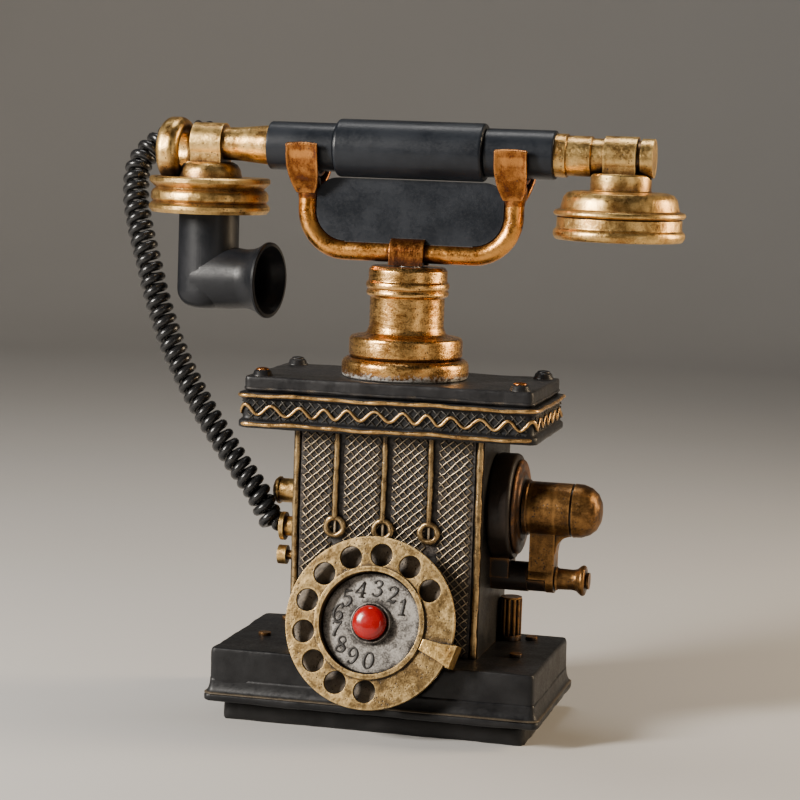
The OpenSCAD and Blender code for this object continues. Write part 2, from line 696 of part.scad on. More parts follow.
module handset_gland() color(gold) at_handset() difference() {
    union() {
        ycyl(4.6, 0, 12.5, -end_x, 0);
        ycyl(6.5, 12.5, 14.5, -end_x, 0);
    }
    fitting_room(-1);
    ycyl(2.6, 0, 12.5, -end_x, 0);
}

// ---------- coiled cord ----------
// hand-chosen route of its centre line, from the case gland to the handset gland
cord_route = [[-54, 0, 83], [-59.5, 0, 86], [-66, -1, 98], [-80.5, 1, 116], [-97.5, 4, 139],
    [-111, 7, 162], [-120, 10, 183], [-125.5, 13, 199], [-131.5, 17, 215], [-136, 22, 231],
    [-136, 28, 246], [-126, 35, 257], [-110, 39, 260], [-98, 33, 257.5],
    [-94.5, 20.5, 256]];
cord_rings = 70;
cord_sides = 10;
function cr(p0, p1, p2, p3, t) = 0.5 * ((2 * p1) + (p2 - p0) * t
    + (2 * p0 - 5 * p1 + 4 * p2 - p3) * t * t + (3 * p1 - p0 - 3 * p2 + p3) * t * t * t);
cn = len(cord_route) - 1;
start_out = cord_route[0] + [8, 0, -1];
end_out = cord_route[cn] + [0, -10, 0];
function route_at(u) = let (i = min(floor(u), cn - 1), t = u - i)
    cr(i > 0 ? cord_route[i - 1] : start_out, cord_route[i], cord_route[i + 1],
        i + 2 <= cn ? cord_route[i + 2] : end_out, t);
function unit(v) = v / norm(v);
function tangent(u) = u < 0.001 ? [-1, 0, 0] : u > cn - 0.001 ? [0, -1, 0]
    : unit(route_at(min(u + 0.02, cn)) - route_at(max(u - 0.02, 0)));
function frames(i, n, acc) = i > cord_rings ? acc : let (t = tangent(i * cn / cord_rings),
    m = unit(n - (n * t) * t)) frames(i + 1, m, concat(acc, [[m, cross(t, m)]]));
module curly_cord() color([0.08, 0.08, 0.08]) {
    fr = frames(0, [0, 1, 0], []);
    pts = [for (i = [0:cord_rings]) for (k = [0:cord_sides - 1])
        let (a = k * 360 / cord_sides)
        route_at(i * cn / cord_rings)
            + cord_d / 2 * (cos(a) * fr[i][0] + sin(a) * fr[i][1])];
    sides = [for (i = [0:cord_rings - 1]) for (k = [0:cord_sides - 1])
        let (a = i * cord_sides + k, b = i * cord_sides + (k + 1) % cord_sides)
        [a, a + cord_sides, b + cord_sides, b]];
    ends = [[for (k = [0:cord_sides - 1]) k],
        [for (k = [cord_sides - 1:-1:0]) cord_rings * cord_sides + k]];
    polyhedron(points = pts, faces = concat(sides, ends), convexity = 6);
}

base_plinth();
base_block();
base_screws();
case_shell();
back_panel();
front_panel();
corner_beads();
front_rods();
cornice();
slab();
slab_screws();
bearing_cap();
cord_gland();
terminal_nut();
ribbed_post();
crank_drum();
escutcheon();
park_boss();
column_flange();
column();
dial_mount();
dial_spindle();
number_cup();
finger_stop();
magneto_frame();
magnets();
ringer_coils();
gongs();
hook_contacts();
finger_wheel();
wheel_gear();
governor();
dial_button();
crank_shaft();
crank_hub();
crank_arm();
crank_nose();
crank_gear();
crank_grip();
armature();
clapper();
plunger();
bar_strap();
cradle_bar();
saddle_left();
saddle_right();
cradle_web();
grip_middle();
grip_ends();
handset_tubes();
end_fittings();
hanging_ring();
transmitter();
mouthpiece();
receiver_shell();
receiver_cap();
receiver_unit();
handset_gland();
curly_cord();
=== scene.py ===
import bpy, bmesh, math
from mathutils import Vector, Matrix


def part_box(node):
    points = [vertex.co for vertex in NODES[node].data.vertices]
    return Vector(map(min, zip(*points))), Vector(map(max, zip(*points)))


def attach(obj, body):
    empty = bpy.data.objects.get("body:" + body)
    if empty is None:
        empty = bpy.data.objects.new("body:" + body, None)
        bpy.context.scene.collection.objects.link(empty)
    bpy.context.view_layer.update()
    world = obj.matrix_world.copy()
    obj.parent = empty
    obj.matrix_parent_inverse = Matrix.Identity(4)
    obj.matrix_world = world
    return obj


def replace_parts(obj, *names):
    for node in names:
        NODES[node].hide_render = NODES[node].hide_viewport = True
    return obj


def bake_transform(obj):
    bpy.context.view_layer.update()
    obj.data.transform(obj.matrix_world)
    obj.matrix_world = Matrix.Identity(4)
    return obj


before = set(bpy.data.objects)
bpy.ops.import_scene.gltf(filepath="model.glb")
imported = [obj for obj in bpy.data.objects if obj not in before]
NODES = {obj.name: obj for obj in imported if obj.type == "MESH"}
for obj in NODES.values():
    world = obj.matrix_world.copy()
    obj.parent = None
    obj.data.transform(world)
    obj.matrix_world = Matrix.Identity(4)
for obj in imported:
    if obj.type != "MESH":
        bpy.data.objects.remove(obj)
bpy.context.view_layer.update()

# lengths are in millimetres and turned into metres with MM, unless a comment says metres
MM = 0.001
MIDDLE_Y = 6.0          # middle of the cornice, slab, column, cradle and handset
HANDSET_Z = 256.0       # axis of the handset
CORNICE_HALF = Vector((66.0, 34.0))     # from the cornice's middle to the floor of its band


def on_circle(radius, degrees):
    a = math.radians(degrees)
    return radius * math.cos(a), radius * math.sin(a)


# ------------------------------------------------------------------ camera
CAMERA_YAW, CAMERA_RISE, CAMERA_ROLL = (math.radians(a) for a in (13.6, 6.6, 1.9))
CAMERA_DISTANCE = 1.080                         # metres from the point that it looks at
LOOK_AT_Z, LOOK_AT_LEFT = 0.1441, 0.0004        # metres
LENS, SENSOR = 108.0, 36.0


def make_camera():
    """the main view: from the front, a little to the right, a little above and slightly rolled"""
    level = math.cos(CAMERA_RISE)
    back = Vector((math.sin(CAMERA_YAW) * level, -math.cos(CAMERA_YAW) * level, math.sin(CAMERA_RISE)))
    right = Vector((math.cos(CAMERA_YAW), math.sin(CAMERA_YAW), 0.0))
    up = back.cross(right)
    rolled_right = right * math.cos(CAMERA_ROLL) + up * math.sin(CAMERA_ROLL)
    rolled_up = up * math.cos(CAMERA_ROLL) - right * math.sin(CAMERA_ROLL)
    camera = bpy.data.objects.new("camera", bpy.data.cameras.new("camera"))
    bpy.context.scene.collection.objects.link(camera)
    matrix = Matrix((rolled_right, rolled_up, back)).transposed().to_4x4()
    matrix.translation = Vector((0, 0, LOOK_AT_Z)) - right * LOOK_AT_LEFT + back * CAMERA_DISTANCE
    camera.matrix_world = matrix
    camera.data.sensor_width = SENSOR
    camera.data.lens = LENS
    camera.data.clip_start = 0.01
    camera.data.clip_end = 50
    bpy.context.scene.camera = camera


make_camera()


# ------------------------------------------------------------------ materials
class Mat:
    """A material and short ways of adding shader nodes to it."""

    def __init__(self, name):
        self.material = bpy.data.materials.new(name)
        self.material.use_nodes = True
        self.tree = self.material.node_tree
        self.shader = self.tree.nodes["Principled BSDF"]
        self.place = self.add("ShaderNodeTexCoord").outputs["Object"]

    def add(self, kind, **props):
        node = self.tree.nodes.new(kind)
        for key, value in props.items():
            setattr(node, key, value)
        return node

    def put(self, socket, value):
        """a constant or another node's output, onto a socket"""
        if hasattr(value, "is_output"):
            self.tree.links.new(value, socket)
        else:
            socket.default_value = value

    def set(self, name, value):
        self.put(self.shader.inputs[name], value)

    def scaled(self, scale):
        node = self.add("ShaderNodeMapping")
        self.put(node.inputs["Vector"], self.place)
        node.inputs["Scale"].default_value = scale if hasattr(scale, "__len__") else (scale,) * 3
        return node.outputs["Vector"]

    def noise(self, scale, detail=3.0, rough=0.5):
        """scale is in features per metre, one number or three"""
        node = self.add("ShaderNodeTexNoise")
        self.put(node.inputs["Vector"], self.scaled(scale))
        node.inputs["Scale"].default_value = 1.0
        node.inputs["Detail"].default_value = detail
        node.inputs["Roughness"].default_value = rough
        return node.outputs["Fac"]

    def cells(self, scale):
        node = self.add("ShaderNodeTexVoronoi")
        self.put(node.inputs["Vector"], self.scaled(scale))
        node.inputs["Scale"].default_value = 1.0
        return node.outputs["Distance"]

    def math(self, operation, a, b):
        node = self.add("ShaderNodeMath", operation=operation)
        self.put(node.inputs[0], a)
        self.put(node.inputs[1], b)
        return node.outputs[0]

    def plus(self, a, b):
        return self.math("ADD", a, b)

    def less(self, a, b):
        return self.math("SUBTRACT", a, b)

    def times(self, a, b):
        return self.math("MULTIPLY", a, b)

    def span(self, x, lo, hi, a=0.0, b=1.0):
        """x taken smoothly from lo..hi to a..b"""
        node = self.add("ShaderNodeMapRange", interpolation_type="SMOOTHSTEP")
        self.put(node.inputs["Value"], x)
        for key, value in (("From Min", lo), ("From Max", hi), ("To Min", a), ("To Max", b)):
            node.inputs[key].default_value = value
        return node.outputs["Result"]

    def mix(self, factor, a, b):
        """colour a where factor is 0, colour b where it is 1"""
        node = self.add("ShaderNodeMix", data_type="RGBA")
        self.put(node.inputs[0], factor)
        self.put(node.inputs[6], a if hasattr(a, "is_output") else (*a, 1))
        self.put(node.inputs[7], b if hasattr(b, "is_output") else (*b, 1))
        return node.outputs[2]

    def open_air(self, distance, inside=False):
        """1 on open faces, less within distance (metres) of a wall; inside turns it to convex edges"""
        node = self.add("ShaderNodeAmbientOcclusion", samples=6, inside=inside, only_local=inside)
        node.inputs["Distance"].default_value = distance
        return node.outputs["AO"]

    def rough(self, texture, smoothest, roughest):
        self.set("Roughness", self.span(texture, 0.3, 0.7, smoothest, roughest))

    def bump(self, *layers):
        """layers of (height, strength, distance in mm), finest last"""
        last = None
        for height, strength, distance in layers:
            node = self.add("ShaderNodeBump")
            node.inputs["Strength"].default_value = strength
            node.inputs["Distance"].default_value = distance * MM
            self.put(node.inputs["Height"], height)
            if last is not None:
                self.put(node.inputs["Normal"], last)
            last = node.outputs["Normal"]
        self.set("Normal", last)


FROST = (0.62, 0.60, 0.56)


def gilt(name, bright, middle, dark, cover, pits, metal, rough, stroke=(1, 1, 1), frost=None):
    """Gold paint rubbed over a dark casting: bright on what stands out, dark in the pits, and dark in the
    hollows from thin paint and from painted shade.

    cover: how much of the casting the paint hides. pits: how pitted it is. rough: smoothest and roughest.
    stroke: how fine the brush marks are along x, y and z. frost: heights in metres; grey wear specks the
    paint below the first and is gone by the second.
    """
    k = Mat(name)
    patch = k.noise(80, 4, 0.6)
    brush = k.noise([240 * s for s in stroke], 5, 0.72)
    grain = k.noise(1400, 2, 0.6)
    edge = k.less(1.0, k.open_air(0.0012, inside=True))
    # how well the paint holds; near walls this also paints in shade
    hold_and_shade = k.plus(k.times(patch, 0.75), k.times(brush, 0.75))
    # painted shade, partly thin paint in hollows: less gold within 5 mm of a wall
    hold_and_shade = k.plus(hold_and_shade, k.times(k.open_air(0.005), 0.8))
    hold_and_shade = k.plus(hold_and_shade, k.times(edge, 0.5))
    hold_and_shade = k.plus(hold_and_shade, k.times(k.less(grain, 0.5), 0.30))
    painted = k.span(hold_and_shade, 1.46 - cover * 0.6, 1.72 - cover * 0.6)
    polished = k.span(hold_and_shade, 1.62 - cover * 0.5, 2.02 - cover * 0.5)
    pitted = k.span(k.noise(180, 2), 0.56 - pits * 0.1, 0.66 - pits * 0.1)
    pit = k.times(k.span(k.cells(620), 0.16, 0.28, 1, 0), pitted)
    painted = k.times(painted, k.less(1.0, k.times(pit, 0.9)))
    # painted shade: the gold is dimmed up to 10 mm from a wall
    far_unshaded = k.span(k.open_air(0.010), 0.25, 0.85)
    painted = k.times(painted, k.plus(0.35, k.times(far_unshaded, 0.65)))
    colour = k.mix(painted, dark, k.mix(polished, middle, bright))
    if frost:
        xyz = k.add("ShaderNodeSeparateXYZ")
        k.put(xyz.inputs[0], k.place)
        low = k.span(xyz.outputs["Z"], *frost, 1, 0)
        speck = k.plus(k.times(k.noise(520, 4, 0.75), 0.75), k.times(low, 0.34))
        colour = k.mix(k.times(k.span(speck, 0.60, 0.70), low), colour, FROST)
    k.set("Base Color", colour)
    k.set("Metallic", k.plus(k.times(painted, metal - 0.2), 0.2))
    k.rough(k.plus(k.times(brush, 0.6), k.times(grain, 0.4)), *rough)
    k.bump((k.noise(150, 3), 0.45, 0.8), (brush, 0.35, 0.3), (k.less(grain, pit), 0.4, 0.12))
    return k.material


def satin(name, dark, light, gold, wear, rough, uneven, width, coat=0.0):
    """Satin paint over a casting, with gold rubbed along its edges.

    wear: how much gold shows. rough: smoothest and roughest. uneven: strength of the casting's lumps.
    width: how far the wear reaches from an edge, in metres.
    """
    k = Mat(name)
    cloud = k.noise(60, 4, 0.6)
    fine = k.noise(900, 3, 0.6)
    colour = k.mix(k.span(cloud, 0.3, 0.7), dark, light)
    if wear:
        edge = k.less(1.0, k.open_air(width, inside=True))
        worn = k.times(edge, k.plus(k.noise(120, 5, 0.7), 0.35))
        worn = k.times(k.span(worn, 0.34, 0.62), wear)
        colour = k.mix(worn, colour, gold)
        k.set("Metallic", k.times(worn, 0.75))
    k.set("Base Color", colour)
    texture = k.plus(k.times(cloud, 0.5), k.times(fine, 0.5))
    k.set("Roughness", k.span(texture, 0.35, 0.65, *rough))
    k.set("Coat Weight", coat)
    k.set("Coat Roughness", 0.2)
    k.set("Specular IOR Level", 0.3)
    k.bump((k.noise(55, 3), uneven, 0.8), (k.noise(300, 4, 0.6), uneven, 0.2), (fine, 0.25, 0.05))
    return k.material


def plain(name, scale, detail, dark, light, rough, strength, distance, metal=0.0, coat=0.0):
    """One noise mottles the colour, the roughness and the surface; strength and distance are its bump's."""
    k = Mat(name)
    mottle = k.noise(scale, detail)
    k.set("Base Color", k.mix(mottle, dark, light))
    k.set("Metallic", metal)
    k.rough(mottle, *rough)
    k.set("Coat Weight", coat)
    k.set("Coat Roughness", 0.08)
    k.bump((mottle, strength, distance))
    return k.material


def panel_mottled(name):
    """floors of the lattice cells: mottled grey-brown, with painted shade against the ribs"""
    k = Mat(name)
    coarse, fine = k.noise(430, 4, 0.65), k.noise(1500, 3, 0.6)
    texture = k.plus(k.times(coarse, 0.7), k.times(fine, 0.5))
    light = k.mix(k.span(k.noise(70, 3), 0.35, 0.65), (0.115, 0.088, 0.066), (0.082, 0.078, 0.076))
    colour = k.mix(k.span(texture, 0.45, 0.74), (0.012, 0.009, 0.008), light)
    # painted shade: darker within 2.2 mm of a rib
    colour = k.mix(k.span(k.open_air(0.0022), 0.45, 0.92), (0.005, 0.004, 0.004), colour)
    k.set("Base Color", colour)
    k.set("Metallic", 0.25)
    k.rough(fine, 0.42, 0.62)
    k.bump((coarse, 0.6, 0.35), (fine, 0.3, 0.06))
    return k.material


def dish_silver(name):
    """the number plate: dull silver, dark in its pits, with painted shade along its rim"""
    k = Mat(name)
    cloud, grain = k.noise(130, 4, 0.65), k.noise(1300, 3, 0.6)
    texture = k.plus(k.times(cloud, 0.7), k.times(grain, 0.45))
    # painted shade: darker within 3 mm of a wall, such as the rim and the digits
    texture = k.plus(texture, k.times(k.open_air(0.003), 0.5))
    k.set("Base Color", k.mix(k.span(texture, 0.86, 1.20), (0.035, 0.030, 0.027), (0.44, 0.41, 0.37)))
    k.set("Metallic", 0.55)
    k.rough(grain, 0.34, 0.55)
    k.bump((cloud, 0.4, 0.3), (grain, 0.4, 0.08))
    return k.material


def cord_black(name):
    """the cord's shiny black skin"""
    k = Mat(name)
    mottle, fine = k.noise(140, 3), k.noise(2200, 2)
    k.set("Base Color", k.mix(mottle, (0.005, 0.005, 0.005), (0.014, 0.014, 0.015)))
    k.rough(fine, 0.22, 0.34)
    k.bump((mottle, 0.08, 0.2), (fine, 0.06, 0.03))
    return k.material


# colours: bright, middle, dark; then cover, pits, metal and roughness, as gilt() has them
GILTS = {
    "gilt": ((0.86, 0.57, 0.21), (0.40, 0.20, 0.055), (0.022, 0.011, 0.005), 0.62, 0.6, 1.0, (0.26, 0.44)),
    "gilt_dial": ((0.58, 0.40, 0.17), (0.21, 0.13, 0.05), (0.022, 0.014, 0.008), 0.44, 1.5, 0.9, (0.30, 0.50)),
    "gilt_wire": ((0.52, 0.36, 0.17), (0.16, 0.098, 0.042), (0.014, 0.01, 0.007), 0.50, 0.5, 0.9, (0.24, 0.42)),
    "gilt_rib": ((0.60, 0.48, 0.32), (0.24, 0.175, 0.11), (0.024, 0.019, 0.015), 0.64, 0.1, 0.85, (0.28, 0.46)),
    # the second set of ribs: a darker copy of gilt_rib, as painted shade
    "gilt_rib_low": ((0.46, 0.36, 0.24), (0.17, 0.125, 0.08), (0.02, 0.016, 0.012), 0.60, 0.1, 0.8, (0.3, 0.5)),
    "gilt_bead": ((0.66, 0.41, 0.16), (0.20, 0.105, 0.035), (0.01, 0.008, 0.007), 0.44, 0.4, 0.9, (0.26, 0.44)),
    "gilt_column": ((0.86, 0.50, 0.17), (0.36, 0.155, 0.034), (0.03, 0.012, 0.005), 0.62, 0.5, 1.0,
                    (0.20, 0.36), (1, 1, 2.6)),
    "gilt_foot": ((0.86, 0.50, 0.17), (0.36, 0.155, 0.034), (0.03, 0.012, 0.005), 0.62, 0.5, 1.0,
                  (0.20, 0.36), (1, 1, 2.6), (0.153, 0.163)),
    "gilt_arm": ((0.82, 0.38, 0.09), (0.32, 0.10, 0.016), (0.028, 0.009, 0.004), 0.64, 0.25, 1.0, (0.22, 0.40)),
    "copper": ((0.60, 0.25, 0.065), (0.17, 0.048, 0.01), (0.018, 0.007, 0.004), 0.36, 0.5, 0.95,
               (0.22, 0.42), (1.6, 1.6, 0.5)),
    "bronze": ((0.30, 0.15, 0.045), (0.085, 0.04, 0.012), (0.008, 0.005, 0.003), 0.46, 1.1, 0.85, (0.28, 0.48)),
    "escutcheon_bronze": ((0.30, 0.13, 0.035), (0.055, 0.024, 0.01), (0.008, 0.005, 0.004), 0.30, 0.5, 0.7,
                          (0.34, 0.54)),
    "dial_back": ((0.34, 0.28, 0.21), (0.12, 0.098, 0.076), (0.016, 0.013, 0.011), 0.56, 0.8, 0.4,
                  (0.45, 0.65)),
}
# colours: dark, light, gold; then wear, roughness, unevenness and width, as satin() has them
PAINTS = {
    "cornice_black": ((0.004, 0.004, 0.005), (0.012, 0.012, 0.013), (0.55, 0.37, 0.17), 0.9,
                      (0.34, 0.52), 0.3, 0.0016),
    "band_black": ((0.003, 0.0034, 0.0048), (0.01, 0.011, 0.014), (0.13, 0.11, 0.08), 0.3,
                   (0.34, 0.52), 0.3, 0.001),
    "base_black": ((0.005, 0.005, 0.006), (0.014, 0.014, 0.015), (0.22, 0.17, 0.11), 0.5,
                   (0.34, 0.54), 0.6, 0.0012),
    "slab_black": ((0.007, 0.007, 0.008), (0.021, 0.02, 0.021), (0.34, 0.26, 0.17), 0.7,
                   (0.32, 0.50), 0.6, 0.0012),
    "drum_brown": ((0.007, 0.005, 0.004), (0.022, 0.013, 0.008), (0.26, 0.12, 0.035), 0.9,
                   (0.34, 0.52), 0.5, 0.0022),
    "case_black": ((0.005, 0.0045, 0.004), (0.014, 0.012, 0.01), (0.25, 0.15, 0.06), 0.5,
                   (0.36, 0.55), 0.4, 0.0016),
    "handle_slate": ((0.006, 0.008, 0.012), (0.014, 0.017, 0.023), (0.20, 0.19, 0.17), 0.35,
                     (0.32, 0.48), 0.25, 0.0007, 0.12),
    "pipe_black": ((0.005, 0.006, 0.008), (0.012, 0.013, 0.016), None, 0.0, (0.34, 0.50), 0.2, 0.001),
    "plinth_black": ((0.005, 0.005, 0.005), (0.013, 0.012, 0.012), (0.2, 0.15, 0.1), 0.3,
                     (0.4, 0.6), 0.5, 0.0016),
}
# noise scale and detail, dark and light colours, roughness, bump, metal and coat, as plain() has them
PLAINS = {
    "steel": ((200, 200, 2500), 3, (0.36, 0.36, 0.37), (0.62, 0.62, 0.64), (0.22, 0.42), 0.15, 0.05, 1.0),
    "button_red": (260, 3, (0.26, 0.001, 0.0015), (0.42, 0.002, 0.003), (0.16, 0.30), 0.12, 0.15, 0.0, 0.35),
    "magnet_red": (300, 4, (0.20, 0.01, 0.008), (0.34, 0.02, 0.014), (0.3, 0.5), 0.2, 0.1),
    "digit_black": (900, 3, (0.006, 0.006, 0.006), (0.035, 0.03, 0.025), (0.4, 0.65), 0.2, 0.05),
    "copper_wire": ((600, 600, 5200), 3, (0.30, 0.10, 0.04), (0.60, 0.24, 0.10), (0.3, 0.5), 0.5, 0.1, 0.8),
}
M = {}
for make, table in ((gilt, GILTS), (satin, PAINTS), (plain, PLAINS)):
    for name, values in table.items():
        M[name] = make(name, *values)
for make in (panel_mottled, dish_silver, cord_black):
    M[make.__name__] = make(make.__name__)


# ------------------------------------------------------------------ mesh helpers
def linked(name, points, faces):
    """a new object in the scene from points in metres"""
    mesh = bpy.data.meshes.new(name)
    mesh.from_pydata(points, [], faces)
    o = bpy.data.objects.new(name, mesh)
    bpy.context.scene.collection.objects.link(o)
    return o


def piece(name, verts, faces, mat, body, slot=None):
    """a smooth piece of the telephone that rides on a body, if it has one; its points are in mm"""
    o = linked(name, [tuple(c * MM for c in v) for v in verts], faces)
    o.data.validate()
    o.data.shade_smooth()
    o.data.materials.append(M[mat])
    if body:
        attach(o, body)
    return o


def merged(name, parts, mat, body, slot=None):
    """parts, a list of (points, faces), as one piece"""
    verts, faces = [], []
    for part_verts, part_faces in parts:
        first = len(verts)
        verts += part_verts
        faces += [tuple(i + first for i in face) for face in part_faces]
    return piece(name, verts, faces, mat, body, slot)


def bevel(o, width, segments=2, angle=32, weld=False):
    """rounds the edges sharper than angle; weld first joins points that fall together"""
    if weld:
        o.modifiers.new("weld", "WELD").merge_threshold = 2e-6
    b = o.modifiers.new("bevel", "BEVEL")
    b.width = width * MM
    b.segments = segments
    b.limit_method = "ANGLE"
    b.angle_limit = math.radians(angle)
    b.use_clamp_overlap = True
    b.harden_normals = False
    normals = o.modifiers.new("normals", "WEIGHTED_NORMAL")
    normals.keep_sharp = False
    normals.weight = 60


def fix_normals(o):
    """joins points that fall together and turns every face outwards"""
    bm = bmesh.new()
    bm.from_mesh(o.data)
    bmesh.ops.remove_doubles(bm, verts=bm.verts, dist=1e-7)
    bmesh.ops.recalc_face_normals(bm, faces=bm.faces)
    bm.to_mesh(o.data)
    bm.free()


def frames(points, closed=False, start=None):
    """a tangent and two carried normals at each point of a line"""
    n = len(points)
    normal = start or Vector((0, 1, 0))
    out = []
    for i in range(n):
        before = points[(i - 1) % n] if closed or i > 0 else points[0]
        after = points[(i + 1) % n] if closed or i < n - 1 else points[-1]
        tangent = (after - before).normalized()
        normal = normal - tangent * normal.dot(tangent)
        if normal.length < 1e-6:
            normal = tangent.orthogonal()
        normal = normal.normalized()
        out.append((tangent, normal, tangent.cross(normal)))
    return out


def ring_faces(first, second, sides):
    """quads between two rings of points, given by the number of each ring's first point"""
    return [(first + s, first + (s + 1) % sides, second + (s + 1) % sides, second + s) for s in range(sides)]


def tube_data(points, radius, sides=12, closed=False, start=None, flat=None):
    """a tube along points; radius is a number or one for each; flat squeezes it along its first normal"""
    verts, faces = [], []
    for i, (p, (_, a, b)) in enumerate(zip(points, frames(points, closed, start))):
        r = radius[i] if hasattr(radius, "__len__") else radius
        thick = min(r, 1.0) * flat if flat else r
        for s in range(sides):
            w = 2 * math.pi * s / sides
            verts.append(p + a * (math.cos(w) * thick) + b * (math.sin(w) * r))
    n = len(points)
    for i in range(n if closed else n - 1):
        faces += ring_faces(i * sides, (i + 1) % n * sides, sides)
    if not closed:
        faces.append(tuple(range(sides - 1, -1, -1)))
        faces.append(tuple((n - 1) * sides + s for s in range(sides)))
    return verts, faces


def tube(name, points, radius, mat, body, sides=12, closed=False, slot=None, start=None):
    return piece(name, *tube_data(points, radius, sides, closed, start), mat, body, slot)


def lathe_data(profile, centre, segments=64, axis="Z"):
    """profile: (radius, height) pairs, on the axis at both ends"""
    verts, faces, rings = [], [], []
    for r, h in profile:
        if r < 1e-6:
            rings.append([len(verts)])
            verts.append(Vector((0, 0, h)))
        else:
            rings.append(list(range(len(verts), len(verts) + segments)))
            verts += [Vector((*on_circle(r, 360 * s / segments), h)) for s in range(segments)]
    for a, b in zip(rings, rings[1:]):
        for s in range(segments):
            t = (s + 1) % segments
            if len(a) == 1:
                faces.append((a[0], b[s], b[t]))
            elif len(b) == 1:
                faces.append((a[t], a[s], b[0]))
            else:
                faces.append((a[s], b[s], b[t], a[t]))
    if axis == "X":
        verts = [Vector((v.z, v.x, v.y)) for v in verts]
    return [v + Vector(centre) for v in verts], faces


def arc(x, y, r, start, end, steps=8):
    """points of an arc about (x, y), between two angles in degrees"""
    out = []
    for k in range(steps + 1):
        dx, dy = on_circle(r, start + (end - start) * k / steps)
        out.append((x + dx, y + dy))
    return out


# ------------------------------------------------------------------ the coiled cord
# the middle of the coil, from the gland on the case to the gland behind the handset
ROUTE = [Vector(p) for p in [
    (-54, 0, 83), (-59.5, 0, 86), (-66, -1, 98), (-80.5, 1, 116), (-97.5, 4, 139),
    (-111, 7, 162), (-120, 10, 183), (-125.5, 13, 199), (-131.5, 17, 215), (-136, 22, 231),
    (-136, 28, 246), (-126, 35, 257), (-110, 39, 260), (-98, 33, 257.5), (-94.5, 20.5, 256)]]
BEFORE_ROUTE, AFTER_ROUTE = ROUTE[0] + Vector((8, 0, -1)), ROUTE[-1] + Vector((0, -10, 0))
WIRE_R, COIL_R = 2.1, 4.15
COIL_PITCH, POINTS_PER_TURN = 5.0, 22
COIL_END = 5.0          # length over which the coil opens at each end


def curve_point(a, b, c, d, t):
    """a point between b and c on a smooth curve through a, b, c and d, which are vectors or numbers"""
    return 0.5 * (2 * b + (c - a) * t + (2 * a - 5 * b + 4 * c - d) * t * t + (3 * b - a - 3 * c + d) * t ** 3)


def route_line(steps):
    """the route as a fine line, with that many steps between two points of it"""
    ends = [BEFORE_ROUTE] + ROUTE + [AFTER_ROUTE]
    out = []
    for a, b, c, d in zip(ends, ends[1:], ends[2:], ends[3:]):
        out += [curve_point(a, b, c, d, k / steps) for k in range(steps)]
    return out + [ROUTE[-1]]


def running_lengths(points):
    """the length of a line up to each of its points"""
    out = [0.0]
    for a, b in zip(points, points[1:]):
        out.append(out[-1] + (b - a).length)
    return out


def make_cord():
    """the coil, its lower end on the case and its upper end at the handset"""
    line = route_line(40)
    run = running_lengths(line)
    total = run[-1]
    turns = round((total - 6) / COIL_PITCH)
    across = frames(line)
    points = []
    at = 0
    for k in range(turns * POINTS_PER_TURN + 1):
        s = total * k / (turns * POINTS_PER_TURN)
        while at < len(run) - 2 and run[at + 1] < s:
            at += 1
        w = (s - run[at]) / (run[at + 1] - run[at])
        a = across[at][1].lerp(across[at + 1][1], w)
        b = across[at][2].lerp(across[at + 1][2], w)
        opening = min(1.0, s / COIL_END, (total - s) / COIL_END)
        opening = opening * opening * (3 - 2 * opening)
        turn = 2 * math.pi * k / POINTS_PER_TURN
        out = a * math.cos(turn) + b * math.sin(turn)
        points.append(line[at].lerp(line[at + 1], w) + out * (COIL_R * opening))
    length = running_lengths(points)[-1]
    o = tube("cord_coil", points, WIRE_R, "cord_black", None, sides=10, slot="cord_black")
    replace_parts(o, "curly_cord")
    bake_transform(o)
    print("cord: route", round(total, 1), "mm,", turns, "turns, wire length", round(length, 1), "mm")


make_cord()


# ------------------------------------------------------------------ lattices, wave and beads
PANEL_Y = -21.2                                 # face of the front panel
BAYS = [(-38.6, -24.7), (-19.4, -2.7), (2.6, 18.3), (23.6, 38.6)]       # between the rods and corner beads
PANEL_Z = (34, 130.6)
BAND_Z = (134.5, 144.1)
BAND_END = 2.8                                  # the band's lattice stops this far from a corner
SHORTEST_RIB = 0.6
RIB_FOOT = -0.15                                # ribs are sunk this far, so that no gap shows


def clip(point, direction, x_range, y_range):
    """where a line enters and leaves a rectangle, or None if it is inside for too short a way"""
    lo, hi = -1e9, 1e9
    for p, d, (a, b) in zip(point, direction, (x_range, y_range)):
        t1, t2 = (a - p) / d, (b - p) / d
        lo, hi = max(lo, min(t1, t2)), min(hi, max(t1, t2))
    return (lo, hi) if hi - lo > SHORTEST_RIB else None


def rib(k, seed, base, along, side, span, width, height, place):
    """one rib, five points round; it wanders and swells a little, as carved ribs do"""
    steps = max(2, int((span[1] - span[0]) / 3))
    verts, faces = [], []
    for s in range(steps + 1):
        t = span[0] + (span[1] - span[0]) * s / steps
        wander = 0.16 * math.sin(t * 0.5 + k * 2.3 + seed) + 0.08 * math.sin(t * 1.3 + k * 5.1)
        x, y = (base[i] + along[i] * t + side[i] * wander for i in (0, 1))
        half = width / 2 * (1 + 0.22 * math.sin(t * 0.9 + k * 1.7 + seed))
        top = height * (1 + 0.18 * math.sin(t * 0.7 + k * 3.1 + seed))
        shoulder = half * 0.6, top * 0.7
        for off, h in ((-half, RIB_FOOT), (-shoulder[0], shoulder[1]), (0, top), shoulder, (half, RIB_FOOT)):
            verts.append(place(x + side[0] * off, y + side[1] * off, h))
    for s in range(steps):
        for q in range(5):
            a, b = s * 5 + q, s * 5 + (q + 1) % 5
            faces.append((a, a + 5, b + 5, b))
    faces.append((0, 1, 2, 3, 4))
    faces.append(tuple(steps * 5 + q for q in (4, 3, 2, 1, 0)))
    return verts, faces


